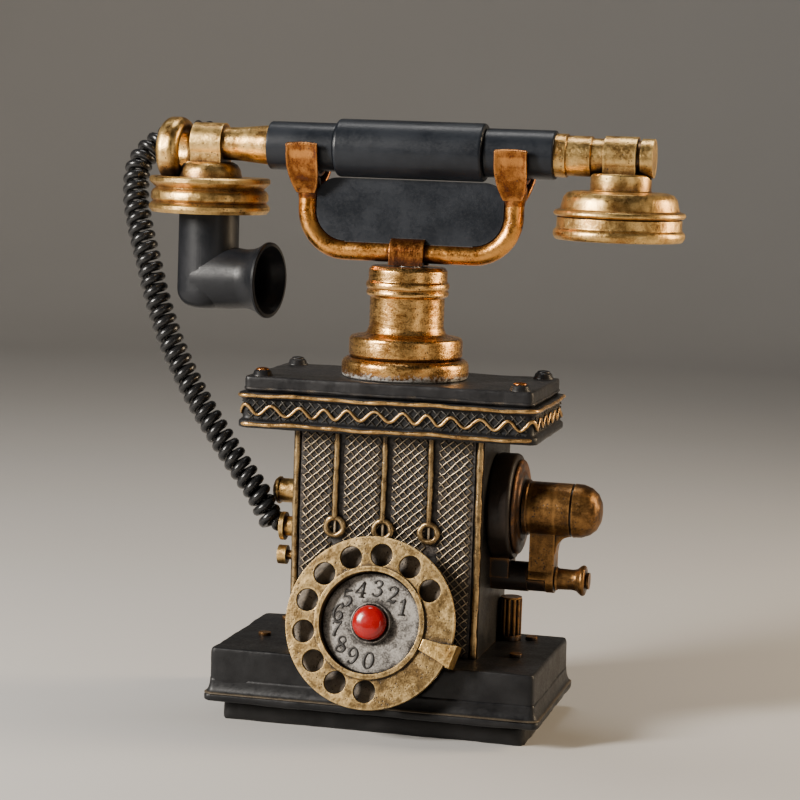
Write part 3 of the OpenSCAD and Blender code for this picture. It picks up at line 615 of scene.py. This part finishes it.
def ribs(x_range, y_range, spacing, angle, width, height, place, seed=0):
    """parallel ribs over a rectangle; place(u, v, w) gives the point over (u, v) at height w"""
    along = on_circle(1, angle)
    side = (-along[1], along[0])
    middle = sum(x_range) / 2, sum(y_range) / 2
    count = int((x_range[1] - x_range[0] + y_range[1] - y_range[0]) / spacing)
    parts = []
    for k in range(-count, count + 1):
        base = tuple(middle[i] + side[i] * k * spacing for i in (0, 1))
        span = clip(base, along, x_range, y_range)
        if span:
            parts.append(rib(k, seed, base, along, side, span, width, height, place))
    return parts


def make_front_lattice():
    """two crossing sets of ribs between the rods, the second a little lower, with a darker gilt as painted shade
    """
    def place(u, v, w):
        return Vector((u, PANEL_Y - w, v))

    for name, angle, width, height, mat, seed in (("high", 42, 0.72, 0.85, "gilt_rib", 0),
                                                  ("low", -48, 0.66, 0.76, "gilt_rib_low", 5)):
        parts = []
        for n, bay in enumerate(BAYS):
            parts += ribs(bay, PANEL_Z, 2.8, angle, width, height, place, n + seed)
        merged("lattice_" + name, parts, mat, "case", "lattice")


def make_band_lattice():
    """the dark lattice on the four sides of the cornice"""
    hw, hd = CORNICE_HALF
    sides = ((hw, lambda u, v, w: Vector((u, MIDDLE_Y - hd - w, v))),
             (hw, lambda u, v, w: Vector((-u, MIDDLE_Y + hd + w, v))),
             (hd, lambda u, v, w: Vector((hw + w, MIDDLE_Y + u, v))),
             (hd, lambda u, v, w: Vector((-hw - w, MIDDLE_Y - u, v))))
    parts = []
    for half, place in sides:
        reach = half - BAND_END
        for angle in (46, -44):
            parts += ribs((-reach, reach), BAND_Z, 3.0, angle, 0.9, 0.7, place, angle)
    merged("band_lattice", parts, "band_black", "case", "bronze")


def rounded_rectangle(half_x, half_y, corner, step):
    """points round the cornice's middle at z 0, and the length up to each, the whole way round last"""
    x, y = half_x - corner, half_y - corner
    turns = []
    for cx, cy, start in ((x, -y, -90), (x, y, 0), (-x, y, 90), (-x, -y, 180)):
        turns += [Vector((px, MIDDLE_Y + py, 0)) for px, py in arc(cx, cy, corner, start, start + 90)]
    points = []
    for a, b in zip(turns, turns[1:] + turns[:1]):
        n = max(1, round((b - a).length / step))
        points += [a.lerp(b, k / n) for k in range(n)]
    return points, running_lengths(points + points[:1])


def make_wave():
    """the wavy moulding in the middle of the band; its waves differ in length, as in hand work"""
    points, run = rounded_rectangle(CORNICE_HALF.x + 0.75, CORNICE_HALF.y + 0.75, 3.6, 0.5)
    waves = round(run[-1] / 11.6)
    once = 2 * math.pi / run[-1]        # one whole wave round the cornice
    path = []
    for p, s in zip(points, run):
        bend = math.sin(once * waves * s + 0.5 * math.sin(once * 9 * s))
        path.append(p + Vector((0, 0, 139.2 + 2.15 * bend + 0.3 * math.sin(once * 5 * s))))
    thick = [0.80 * (1 + 0.12 * math.sin(once * 31 * s)) for s in run[:-1]]
    tube("band_wave", path, thick, "gilt_bead", "case", 8, True, "gilt", Vector((0, 0, 1)))


def bead(name, half_x, half_y, corner, z, radius, mat, slot, wander):
    """a hand-laid bead round the cornice: its height and thickness wander"""
    points, run = rounded_rectangle(half_x, half_y, corner, 1.2)
    slow, middle, quick = (2 * math.pi / run[-1] * n for n in (7, 19, 41))
    path = [p + Vector((0, 0, z + wander * (math.sin(s * slow) + 0.6 * math.sin(s * middle + z))))
            for p, s in zip(points, run)]
    thick = [radius * (1 + 0.10 * math.sin(s * quick) + 0.08 * math.sin(s * middle + 2)) for s in run[:-1]]
    tube(name, path, thick, mat, "case", 10, True, slot, Vector((0, 0, 1)))


def make_cove():
    """hollow moulding between the face of the base block and its lip"""
    lip_top, rise, out, corner, sunk = 13.0, 6.5, 2.55, 2.0, 0.15
    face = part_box("base_block")[1] / MM - Vector((2.5, 2.5, 0))
    profile = [(-1.0, rise)]
    for k in range(8, -1, -1):
        a = math.radians(90 * k / 8)
        profile.append((sunk + out * (1 - math.sin(a)), rise * (1 - math.cos(a))))
    profile += [(sunk + out, -0.4), (-1.0, -0.4)]
    verts, faces = [], []
    for off, z in profile:
        for sx, sy, start in ((1, -1, -90), (1, 1, 0), (-1, 1, 90), (-1, -1, 180)):
            at = (sx * (face.x - corner), sy * (face.y - corner))
            verts += [Vector((x, y, lip_top + z)) for x, y in arc(*at, corner + off, start, start + 90, 6)]
    n = len(verts) // len(profile)
    for k in range(len(profile)):
        faces += ring_faces(k * n, (k + 1) % len(profile) * n, n)
    fix_normals(piece("base_cove", verts, faces, "base_black", "case", "base_metal"))


make_front_lattice()
make_band_lattice()
make_wave()
bead("bead_top", 67.8, 35.8, 5.0, 145.7, 0.85, "gilt_bead", "gilt", 0.25)
bead("bead_bottom", 66.7, 35.8, 5.0, 132.9, 0.95, "gilt_bead", "gilt", 0.25)
bead("slab_step", 65.2, 33.2, 3.0, 148.6, 0.8, "slab_black", "base_metal", 0.12)
make_cove()


# ------------------------------------------------------------------ rods and corner beads
ROD_X, ROD_Y = (-23, -1, 20), -22.6
ROD_Z = range(92, 132)
RING_Z, RING_R = 88.3, 3.95
CORNER_X, CORNER_Y = 41.7, -20.6


def make_rod(n, x):
    """a rod that ends in a ring with a knurled pin in it"""
    rod = [Vector((x + 0.15 * math.sin(z * 0.11 + n), ROD_Y, z)) for z in ROD_Z]
    thick = [1.25 + 0.12 * math.sin(k * 0.8 + n) for k in range(len(rod))]
    tube("rod_%d" % n, rod, thick, "gilt_wire", "case", slot="gilt")
    ring = [Vector((px, ROD_Y + 0.1, pz)) for px, pz in arc(x, RING_Z, RING_R, 0, 360, 40)[:-1]]
    thick = [1.32 + 0.12 * math.sin(k * 0.6 + n) for k in range(len(ring))]
    tube("rod_ring_%d" % n, ring, thick, "gilt_wire", "case", 10, True, "gilt", Vector((0, 1, 0)))
    pin = [Vector((x, ROD_Y + 0.9, RING_Z - 3 + k * 0.3)) for k in range(21)]
    knurl = [0.62 + 0.25 * (k % 2) for k in range(len(pin))]
    tube("rod_pin_%d" % n, pin, knurl, "gilt_rib", "case", 10, slot="gilt")


def make_corner_bead(name, side):
    """a wandering bead up one front corner of the case; side is -1 on the left and 1 on the right"""
    line = []
    for z in range(33, 132):
        x = side * (CORNER_X + 0.18 * math.sin(z * 0.09 + side))
        line.append(Vector((x, CORNER_Y + 0.2 * math.sin(z * 0.13), z)))
    thick = [1.42 + 0.15 * math.sin(k * 0.31) + 0.1 * math.sin(k * 0.83 + side) for k in range(len(line))]
    return tube(name, line, thick, "gilt_wire", "case", 14, slot="gilt")


for n, x in enumerate(ROD_X):
    make_rod(n, x)
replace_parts(bpy.data.objects["rod_0"], "front_rods")
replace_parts(make_corner_bead("corner_bead_left", -1), "corner_beads")
make_corner_bead("corner_bead_right", 1)


# ------------------------------------------------------------------ dial numbers
TILT = math.radians(16)
DIAL = Vector((0, -45, 51))                     # middle of the dial's face
DIAL_X = Vector((1, 0, 0))
DIAL_UP = Vector((0, math.sin(TILT), math.cos(TILT)))
DIAL_OUT = Vector((0, -math.cos(TILT), math.sin(TILT)))
DIGIT_SIZE, DIGIT_RING, PLATE_DEPTH = 6.9, 15.9, 3.4


def oval(half_width, thick, thin):
    """a closed stroke, thick at its sides"""
    out = []
    for k in range(17):
        a = 2 * math.pi * k / 16
        weight = thin + (thick - thin) * abs(math.sin(a)) ** 1.5
        out.append((-half_width * math.sin(a), 0.5 + 0.5 * math.cos(a), weight))
    return out


# strokes of each digit on a body one unit high: x, y, thickness
SIX = [(.23, .84, .19), (.12, .98, .09), (-.07, .93, .12), (-.23, .62, .19), (-.23, .30, .19), (-.08, .03, .10),
       (.08, .0, .09), (.26, .20, .18), (.22, .44, .15), (.04, .56, .08), (-.16, .42, .07)]
DIGITS = {
    "1": [[(.03, .02, .2), (.03, .5, .2), (.03, .97, .2)],
          [(.03, .99, .1), (-.2, .80, .09)],
          [(-.18, .01, .09), (.24, .01, .09)]],
    "2": [[(-.23, .76, .2), (-.18, .92, .09), (.02, 1, .1), (.25, .84, .19), (.2, .6, .19), (-.02, .32, .12),
           (-.26, .05, .08)],
          [(-.26, .05, .08), (-.08, .10, .15), (.13, .03, .16), (.29, .16, .07)]],
    "3": [[(-.22, .82, .19), (-.1, .97, .08), (.06, 1, .09), (.22, .85, .18), (.17, .64, .12), (-.03, .54, .07)],
          [(-.03, .54, .07), (.2, .46, .13), (.27, .25, .2), (.12, .03, .12), (-.08, 0, .08), (-.25, .15, .18)]],
    "4": [[(.12, .99, .09), (-.3, .31, .08)], [(-.31, .29, .09), (.31, .29, .09)],
          [(.12, .98, .19), (.12, .03, .2)], [(-.06, .01, .08), (.29, .01, .08)]],
    "5": [[(-.17, .95, .12), (.0, .96, .13), (.23, .99, .08)],
          [(-.18, .95, .08), (-.21, .55, .07)],
          [(-.21, .55, .07), (.02, .63, .10), (.23, .48, .17), (.25, .24, .2), (.08, .02, .11), (-.1, 0, .08),
           (-.25, .15, .18)]],
    "6": [SIX],
    "7": [[(-.25, .78, .08), (-.22, .94, .11), (.02, .91, .15), (.27, .98, .08)],
          [(.27, .98, .08), (.07, .56, .13), (-.04, .2, .2), (-.03, .02, .21)]],
    "8": [[(.04, .52, .15), (.21, .70, .11), (.16, .93, .09), (0, 1, .08), (-.19, .90, .13), (-.18, .70, .17),
           (.02, .53, .18), (.24, .30, .18), (.19, .07, .11), (0, 0, .08), (-.22, .10, .12), (-.24, .32, .14),
           (.04, .52, .15)]],
    "9": [[(-x, 1 - y, w) for x, y, w in SIX]],
    "0": [oval(.27, .2, .08)],
}


def smooth_stroke(points, steps=5):
    """more points along a stroke; a stroke of two points stays straight"""
    if len(points) == 2:
        return points
    out = []
    ends = [points[0]] + points + [points[-1]]
    for four in zip(ends, ends[1:], ends[2:], ends[3:]):
        for k in range(steps):
            out.append(tuple(curve_point(*values, k / steps) for values in zip(*four)))
    return out + [points[-1]]


def make_digit(name, angle):
    """one raised number on the plate, at an angle in degrees round it"""
    cx, cy = on_circle(DIGIT_RING, angle)
    cy -= 0.4
    parts = []
    for stroke in DIGITS[name]:
        points, thick = [], []
        for x, y, weight in smooth_stroke(stroke):
            across = cx + (x * 1.05 + (y - 0.5) * 0.12) * DIGIT_SIZE
            up = cy + (y - 0.5) * DIGIT_SIZE
            points.append(DIAL + DIAL_X * across + DIAL_UP * up + DIAL_OUT * (0.15 - PLATE_DEPTH))
            thick.append(max(0.22, weight * DIGIT_SIZE * 0.5))
        parts.append(tube_data(points, thick, 8, start=DIAL_OUT, flat=0.42))
    merged("number_" + name, parts, "digit_black", "case", "black_metal")


for i in range(10):
    make_digit(str((i + 1) % 10), 32 + 26.6 * i)


# ------------------------------------------------------------------ cradle saddles
SEAT_R = 13.0                                   # radius of the grip where it lies on the saddles
SHIELD_HALF_WIDTH = 7.35
# line of a shield from its lip down to the arm, seen from the side: out from the middle, up from the grip
SHIELD_LINE = [(14.9, 0.9), (14.3, -0.2), (14.2, -3), (13.8, -6), (12.6, -9.2), (10.6, -12.8), (8.4, -16),
               (6.6, -18.8), (5.4, -21)]
SHIELD_ROOT = (4.5, 4.6, 4.8, 5.0, 5.2, 5.3, 5.4, 5.4, 5.4, 5.2, 4.9)


def loft(rows, thick):
    """A closed plate: rows of (point, unit normal) pairs, thickened against the normal."""
    nr, nq = len(rows), len(rows[0])
    verts = [p for row in rows for p, n in row] + [p - n * thick for row in rows for p, n in row]
    faces = []
    back = nr * nq
    for i in range(nr - 1):
        for q in range(nq - 1):
            a = i * nq + q
            faces.append((a, a + 1, a + nq + 1, a + nq))
            faces.append((back + a, back + a + nq, back + a + nq + 1, back + a + 1))
        a, b = i * nq, i * nq + nq - 1
        faces.append((a, a + nq, back + a + nq, back + a))
        faces.append((b, back + b, back + b + nq, b + nq))
    for q in range(nq - 1):
        a, b = q, (nr - 1) * nq + q
        faces.append((a, back + a, back + a + 1, a + 1))
        faces.append((b, b + 1, back + b + 1, back + b))
    return verts, faces


def seat_strap(x):
    """the strap round the underside of the grip"""
    rows = []
    for k in range(25):
        n = Vector((0, *on_circle(1, 186 + 168 * k / 24)))
        rows.append([(Vector((x + v * 5.6, MIDDLE_Y, HANDSET_Z)) + n * (SEAT_R + 0.3), n)
                     for v in (-1, -0.5, 0, 0.5, 1)])
    return loft(rows, 1.8)


def shield(x, front, side):
    """one shield; front is -1 before the grip and 1 behind it, side is 1 on the left and -1 on the right"""
    last = len(SHIELD_LINE) - 1
    rows = []
    for k, (out, up) in enumerate(SHIELD_LINE):
        before, after = SHIELD_LINE[max(0, k - 1)], SHIELD_LINE[min(last, k + 1)]
        run = Vector((0, after[0] - before[0], after[1] - before[1])).normalized()
        normal = Vector((0, -run.z, run.y))
        if normal.y <= 0:
            normal = -normal
        taper = 1 - 0.42 * max(0.0, (k / last - 0.45) / 0.55) ** 1.7
        row = []
        for q in range(9):
            v = -1 + q / 4
            rim = 0.75 if abs(v) > 0.8 or k < 2 else 0.0
            crown = 0.5 * (1 - v * v) if k < 2 else 0
            y = MIDDLE_Y + front * (out - 0.5 + rim + 0.105 * side * v)
            p = Vector((x + v * SHIELD_HALF_WIDTH * taper, y, HANDSET_Z + up + crown))
            row.append((p, Vector((0, front * normal.y, normal.z))))
        rows.append(row if front < 0 else row[::-1])
    return loft(rows, 1.9)


def make_saddle(name, x, node, side):
    """a strap under the grip, shields before and behind it, and the root that gathers them onto the bar"""
    root = [Vector((x, MIDDLE_Y, HANDSET_Z - 23.5 + k)) for k in range(len(SHIELD_ROOT))]
    parts = [seat_strap(x), shield(x, -1, side), shield(x, 1, side), tube_data(root, SHIELD_ROOT, 20)]
    o = merged(name, parts, "copper", "cradle", "copper")
    bevel(o, 0.45)
    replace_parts(o, node)


make_saddle("shield_left", -47.5, "saddle_left", 1)
make_saddle("shield_right", 47.5, "saddle_right", -1)


# ------------------------------------------------------------------ screws on the slab
SLAB_TOP = 154.0
SCREW_PLACES = ((-58.5, -22), (58.5, -22), (58.5, 34), (-58.5, 34))     # the front two first
BOSS_PROFILE = [(0, -0.6), (5.0, -0.6), (4.8, 0.3), (4.2, 0.9), (3.9, 2.0), (3.3, 2.6), (0, 2.7)]
HEAD_PROFILE = [(0, 2.0), (2.9, 2.0), (3.0, 2.9)] \
    + [(3.0 * math.cos(a), 2.9 + 0.9 * math.sin(a)) for a in (0.4, 0.8, 1.2)] + [(0, 3.85)]


def make_slab_screws():
    """domes on dark bosses near the corners of the slab, copper in front and black behind"""
    for n, (x, y) in enumerate(SCREW_PLACES):
        boss = lathe_data(BOSS_PROFILE, (x, y, SLAB_TOP), 28)
        piece("screw_boss_%d" % n, *boss, "slab_black", "case", "base_metal")
        head = lathe_data(HEAD_PROFILE, (x, y, SLAB_TOP), 24)
        piece("screw_head_%d" % n, *head, "copper" if n < 2 else "slab_black", "case", "gilt")
    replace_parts(bpy.data.objects["screw_head_0"], "slab_screws")


make_slab_screws()


# ------------------------------------------------------------------ mouthpiece
PIPE_X, PIPE_TOP = -94.5, 224.3
HORN_Z, MOUTH_X = HANDSET_Z - 61, -62.5
PIPE_R, PIPE_WALL = 13.9, 1.8
HORN_TURN = math.radians(-10)                   # the horn faces this far round from +X


def boolean(a, b, operation):
    """a joined with or cut by b, which is used up"""
    cut = a.modifiers.new("cut", "BOOLEAN")
    cut.operation = operation
    cut.object = b
    cut.solver = "EXACT"
    bpy.context.view_layer.update()
    mesh = bpy.data.meshes.new_from_object(a.evaluated_get(bpy.context.evaluated_depsgraph_get()))
    a.modifiers.clear()
    a.data = mesh
    bpy.data.objects.remove(b)
    return a


def solid(points, faces):
    """a closed shape to join or cut with, its faces turned outwards; its points are in metres"""
    o = linked("solid", points, faces)
    fix_normals(o)
    return o


def turned(profile, centre, axis="Z"):
    """a solid turned about an axis; profile runs from the axis to the rim of a flat end"""
    verts, faces = lathe_data(profile + [(0, profile[-1][1])], centre, 72, axis)
    return solid([v * MM for v in verts], faces)


def upright(profile):
    """a solid turned about the pipe's axis"""
    return turned(profile, (PIPE_X, MIDDLE_Y, 0))


def level(profile):
    """a solid turned about the horn's axis, before the horn is turned towards the front"""
    return turned(profile, (0, MIDDLE_Y, HORN_Z), "X")


def below_mitre():
    """a box below a plane at 45 degrees, where the horn meets the pipe"""
    half = 60 * MM
    corner = Vector((PIPE_X - 3.5, MIDDLE_Y, HORN_Z)) * MM
    along, down = Vector((1, 0, 1)).normalized() * half, Vector((1, 0, -1)).normalized() * half
    across = Vector((0, half, 0))
    points = [corner + along * a + across * b + down * c
              for c in (0, 2) for a, b in ((-1, -1), (1, -1), (1, 1), (-1, 1))]
    faces = [(0, 1, 2, 3), (7, 6, 5, 4), (0, 4, 5, 1), (1, 5, 6, 2), (2, 6, 7, 3), (3, 7, 4, 0)]
    return solid(points, faces)


def make_mouthpiece():
    """Upright pipe with a rounded foot, and a horn mitred into it, bored right through."""
    r, bore = PIPE_R, PIPE_R - PIPE_WALL
    foot = arc(r - 8.5, HORN_Z - r + 8.2, 8.5, -90, 0)
    pipe = upright([(0, HORN_Z - r - 0.3)] + foot + [(r - 0.1, PIPE_TOP)])
    horn = level([(0, PIPE_X - 10.5), (6, PIPE_X - 10), (11, PIPE_X - 7.5), (14, PIPE_X - 2),
                  (14.5, PIPE_X + 3), (14.2, PIPE_X + 12), (13.4, MOUTH_X - 12), (13.9, MOUTH_X - 8),
                  (15.2, MOUTH_X - 4.5), (16.6, MOUTH_X - 2.2), (17.3, MOUTH_X - 1.2),
                  (17.2, MOUTH_X - 0.3), (16.7, MOUTH_X)])
    # the horn is cut at the mitre, so its edge stands up along the joint
    horn = boolean(horn, below_mitre(), "INTERSECT")
    shell = boolean(pipe, horn, "UNION")
    foot = arc(bore - 7, HORN_Z - bore + 7.6, 7, -90, 0)
    pipe_bore = upright([(0, HORN_Z - bore + 0.6)] + foot + [(bore, PIPE_TOP + 1)])
    horn_bore = level([(0, PIPE_X), (bore, PIPE_X), (bore, MOUTH_X - 9), (bore + 1.6, MOUTH_X - 5.5),
                       (bore + 3, MOUTH_X - 2), (bore + 3.6, MOUTH_X + 1)])
    shell = boolean(shell, boolean(pipe_bore, horn_bore, "UNION"), "DIFFERENCE")
    axis = Vector((PIPE_X, MIDDLE_Y, 0)) * MM
    turn = Matrix.Rotation(HORN_TURN, 4, "Z")
    shell.data.transform(Matrix.Translation(axis) @ turn @ Matrix.Translation(-axis))
    shell.name = "mouth_horn"
    shell.data.materials.clear()
    shell.data.materials.append(M["pipe_black"])
    shell.data.shade_smooth()
    bevel(shell, 0.4, angle=25)
    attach(shell, "handset")
    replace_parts(shell, "mouthpiece")


make_mouthpiece()


# ------------------------------------------------------------------ crank
def make_crank_web():
    """the fillet that runs from the crank arm into the nose, cast in one with them"""
    x, z, bottom = 72.0, 86.6, 78       # corner between the arm and the nose, and the fillet's lower end
    radius, half_depth, middle_y = 7, 4.6, 9
    outline = [(x - 0.6, z + 1.5), (x + 0.5 + radius, z + 1.5)]
    outline += arc(x + 0.5 + radius, z - radius, radius, 100, 180)
    outline += [(x + 0.2, bottom), (x - 0.6, bottom)]
    n = len(outline)
    verts = [Vector((px, middle_y + side * half_depth, pz)) for side in (-1, 1) for px, pz in outline]
    faces = [tuple(range(n)), tuple(range(2 * n - 1, n - 1, -1))]
    faces += [(i, i + n, (i + 1) % n + n, (i + 1) % n) for i in range(n)]
    bevel(piece("crank_fillet", verts, faces, "bronze", "crank", "bronze"), 0.8, 3)


make_crank_web()


# ------------------------------------------------------------------ CAD nodes: soft edges and finishes
# node: material, edge width in mm, and for rough castings the grid and the height of their lumps in mm
FINISH = {
    "base_plinth": ("plinth_black", 1.4, 1.3, 1.5), "base_block": ("base_black", 1.4, 1.1, 1.1),
    "base_screws": ("bronze", 0.5), "back_panel": ("case_black", 0.4), "front_panel": ("panel_mottled", 0.2),
    "corner_beads": ("gilt_wire", 0.2), "front_rods": ("gilt_wire", 0.45),
    "cornice": ("cornice_black", 1.0, 0.9, 0.7), "slab": ("slab_black", 1.2, 0.9, 0.8),
    "slab_screws": ("gilt", 0.5), "bearing_cap": ("gilt", 0.4), "cord_gland": ("gilt", 0.5),
    "terminal_nut": ("gilt", 0.5), "ribbed_post": ("bronze", 0.4), "crank_drum": ("drum_brown", 1.8),
    "escutcheon": ("escutcheon_bronze", 0.6), "park_boss": ("drum_brown", 1.0),
    "column_flange": ("gilt_foot", 0.8), "column": ("gilt_column", 0.4), "dial_mount": ("dial_back", 0.6),
    "dial_spindle": ("steel", 0.2), "number_cup": ("dish_silver", 0.4), "finger_stop": ("gilt", 0.5),
    "magneto_frame": ("steel", 0.5), "magnets": ("magnet_red", 0.8), "ringer_coils": ("copper_wire", 0.3),
    "gongs": ("gilt", 0.4), "hook_contacts": ("steel", 0.15), "finger_wheel": ("gilt_dial", 0.6),
    "wheel_gear": ("gilt", 0.1), "governor": ("steel", 0.1), "dial_button": ("button_red", 0.3),
    "crank_shaft": ("steel", 0.3), "crank_hub": ("bronze", 0.5), "crank_arm": ("bronze", 1.0),
    "crank_nose": ("bronze", 0.6), "crank_gear": ("gilt", 0.1), "crank_grip": ("bronze", 0.4),
    "armature": ("copper_wire", 0.2), "clapper": ("gilt", 0.2), "plunger": ("steel", 0.4),
    "bar_strap": ("copper", 0.5), "cradle_bar": ("gilt_arm", 0.3), "cradle_web": ("handle_slate", 0.9),
    "saddle_left": ("copper", 0.4), "saddle_right": ("copper", 0.4), "mouthpiece": ("pipe_black", 0.5),
    "grip_middle": ("handle_slate", 0.8), "grip_ends": ("handle_slate", 0.8), "handset_tubes": ("gilt", 0.4),
    "end_fittings": ("gilt", 0.8), "hanging_ring": ("gilt", 0.2), "transmitter": ("gilt", 0.4),
    "receiver_shell": ("gilt", 0.5), "receiver_cap": ("gilt", 0.6), "receiver_unit": ("steel", 0.3),
    "handset_gland": ("gilt", 0.5),
}


def paint(o, mat):
    o.data.materials.clear()
    o.data.materials.append(M[mat])
    if "custom_normal" in o.data.attributes:
        o.data.attributes.remove(o.data.attributes["custom_normal"])


def roughen(o, grid, height, lumps):
    """makes a node look cast: its faces swell and sink by a fraction of height"""
    o.modifiers.remove(o.modifiers["normals"])
    remesh = o.modifiers.new("grid", "REMESH")
    remesh.mode = "VOXEL"
    remesh.voxel_size = grid * MM
    remesh.use_smooth_shade = True
    soften = o.modifiers.new("soften", "SMOOTH")
    soften.factor = 0.5
    soften.iterations = 3
    swell = o.modifiers.new("lumps", "DISPLACE")
    swell.texture = lumps
    swell.strength = height * MM
    swell.mid_level = 0.5


def finish_nodes():
    """finishes every CAD node; the case shell stays unbevelled, for a bevel marks it round its bores"""
    lumps = bpy.data.textures.new("lumps", "CLOUDS")
    lumps.noise_scale = 0.018
    lumps.noise_depth = 2
    for name, (mat, width, *cast) in FINISH.items():
        o = NODES[name]
        paint(o, mat)
        o.data.shade_smooth()
        bevel(o, width, weld=True)
        if cast:
            roughen(o, *cast, lumps)
    paint(NODES["case_shell"], "case_black")
    NODES["case_shell"].data.shade_flat()


finish_nodes()


# ------------------------------------------------------------------ floor and light, in metres
def make_floor():
    """pale floor that sweeps up into a pale wall all round"""
    flat, sweep, top, sides = 1.7, 0.9, 1.7, 96
    profile = [(0.5, 0), (1.2, 0), (flat, 0)] + arc(flat, sweep, sweep, -82.5, 0, 11)
    profile += [(flat + sweep, 1.3), (flat + sweep, top)]
    verts = [Vector((0, 0, 0))]
    for r, z in profile:
        verts += [Vector((*on_circle(r, 360 * s / sides), z)) for s in range(sides)]
    faces = [(0, 1 + s, 1 + (s + 1) % sides) for s in range(sides)]
    for k in range(len(profile) - 1):
        first = 1 + k * sides
        for s in range(sides):
            a, b = first + s, first + (s + 1) % sides
            faces.append((a, a + sides, b + sides, b))
    o = linked("floor", verts, faces)
    o.data.shade_smooth()
    k = Mat("floor_pale")
    k.set("Base Color", k.mix(k.noise(4, 3), (0.50, 0.485, 0.465), (0.54, 0.525, 0.505)))
    k.set("Roughness", 0.75)
    o.data.materials.append(k.material)


def lamp(name, place, target, size, power, colour):
    light = bpy.data.lights.new(name, "AREA")
    light.shape = "RECTANGLE"
    light.size, light.size_y = size
    light.energy = power
    light.color = colour
    o = bpy.data.objects.new(name, light)
    bpy.context.scene.collection.objects.link(o)
    o.location = place
    o.rotation_euler = (Vector(target) - Vector(place)).to_track_quat("-Z", "Y").to_euler()


def make_sky():
    """a dim, slightly cool light from all round"""
    world = bpy.data.worlds.new("world")
    world.use_nodes = True
    background = world.node_tree.nodes["Background"]
    background.inputs[0].default_value = (0.80, 0.81, 0.83, 1)
    background.inputs[1].default_value = 0.05
    bpy.context.scene.world = world


make_floor()
lamp("key", (-0.85, -0.75, 0.62), (0, 0, 0.17), (0.22, 0.40), 31, (1.0, 0.95, 0.88))
lamp("fill", (0.95, -0.85, 0.25), (0, 0, 0.12), (0.3, 0.6), 1.1, (1.0, 0.92, 0.82))
lamp("glow", (0.80, 0.30, 0.40), (0, 0, 0.17), (0.25, 0.5), 8, (1.0, 0.78, 0.52))
lamp("top", (-0.1, 0.25, 1.2), (0, 0, 0.15), (0.5, 0.3), 3.5, (1.0, 0.98, 0.95))
make_sky()
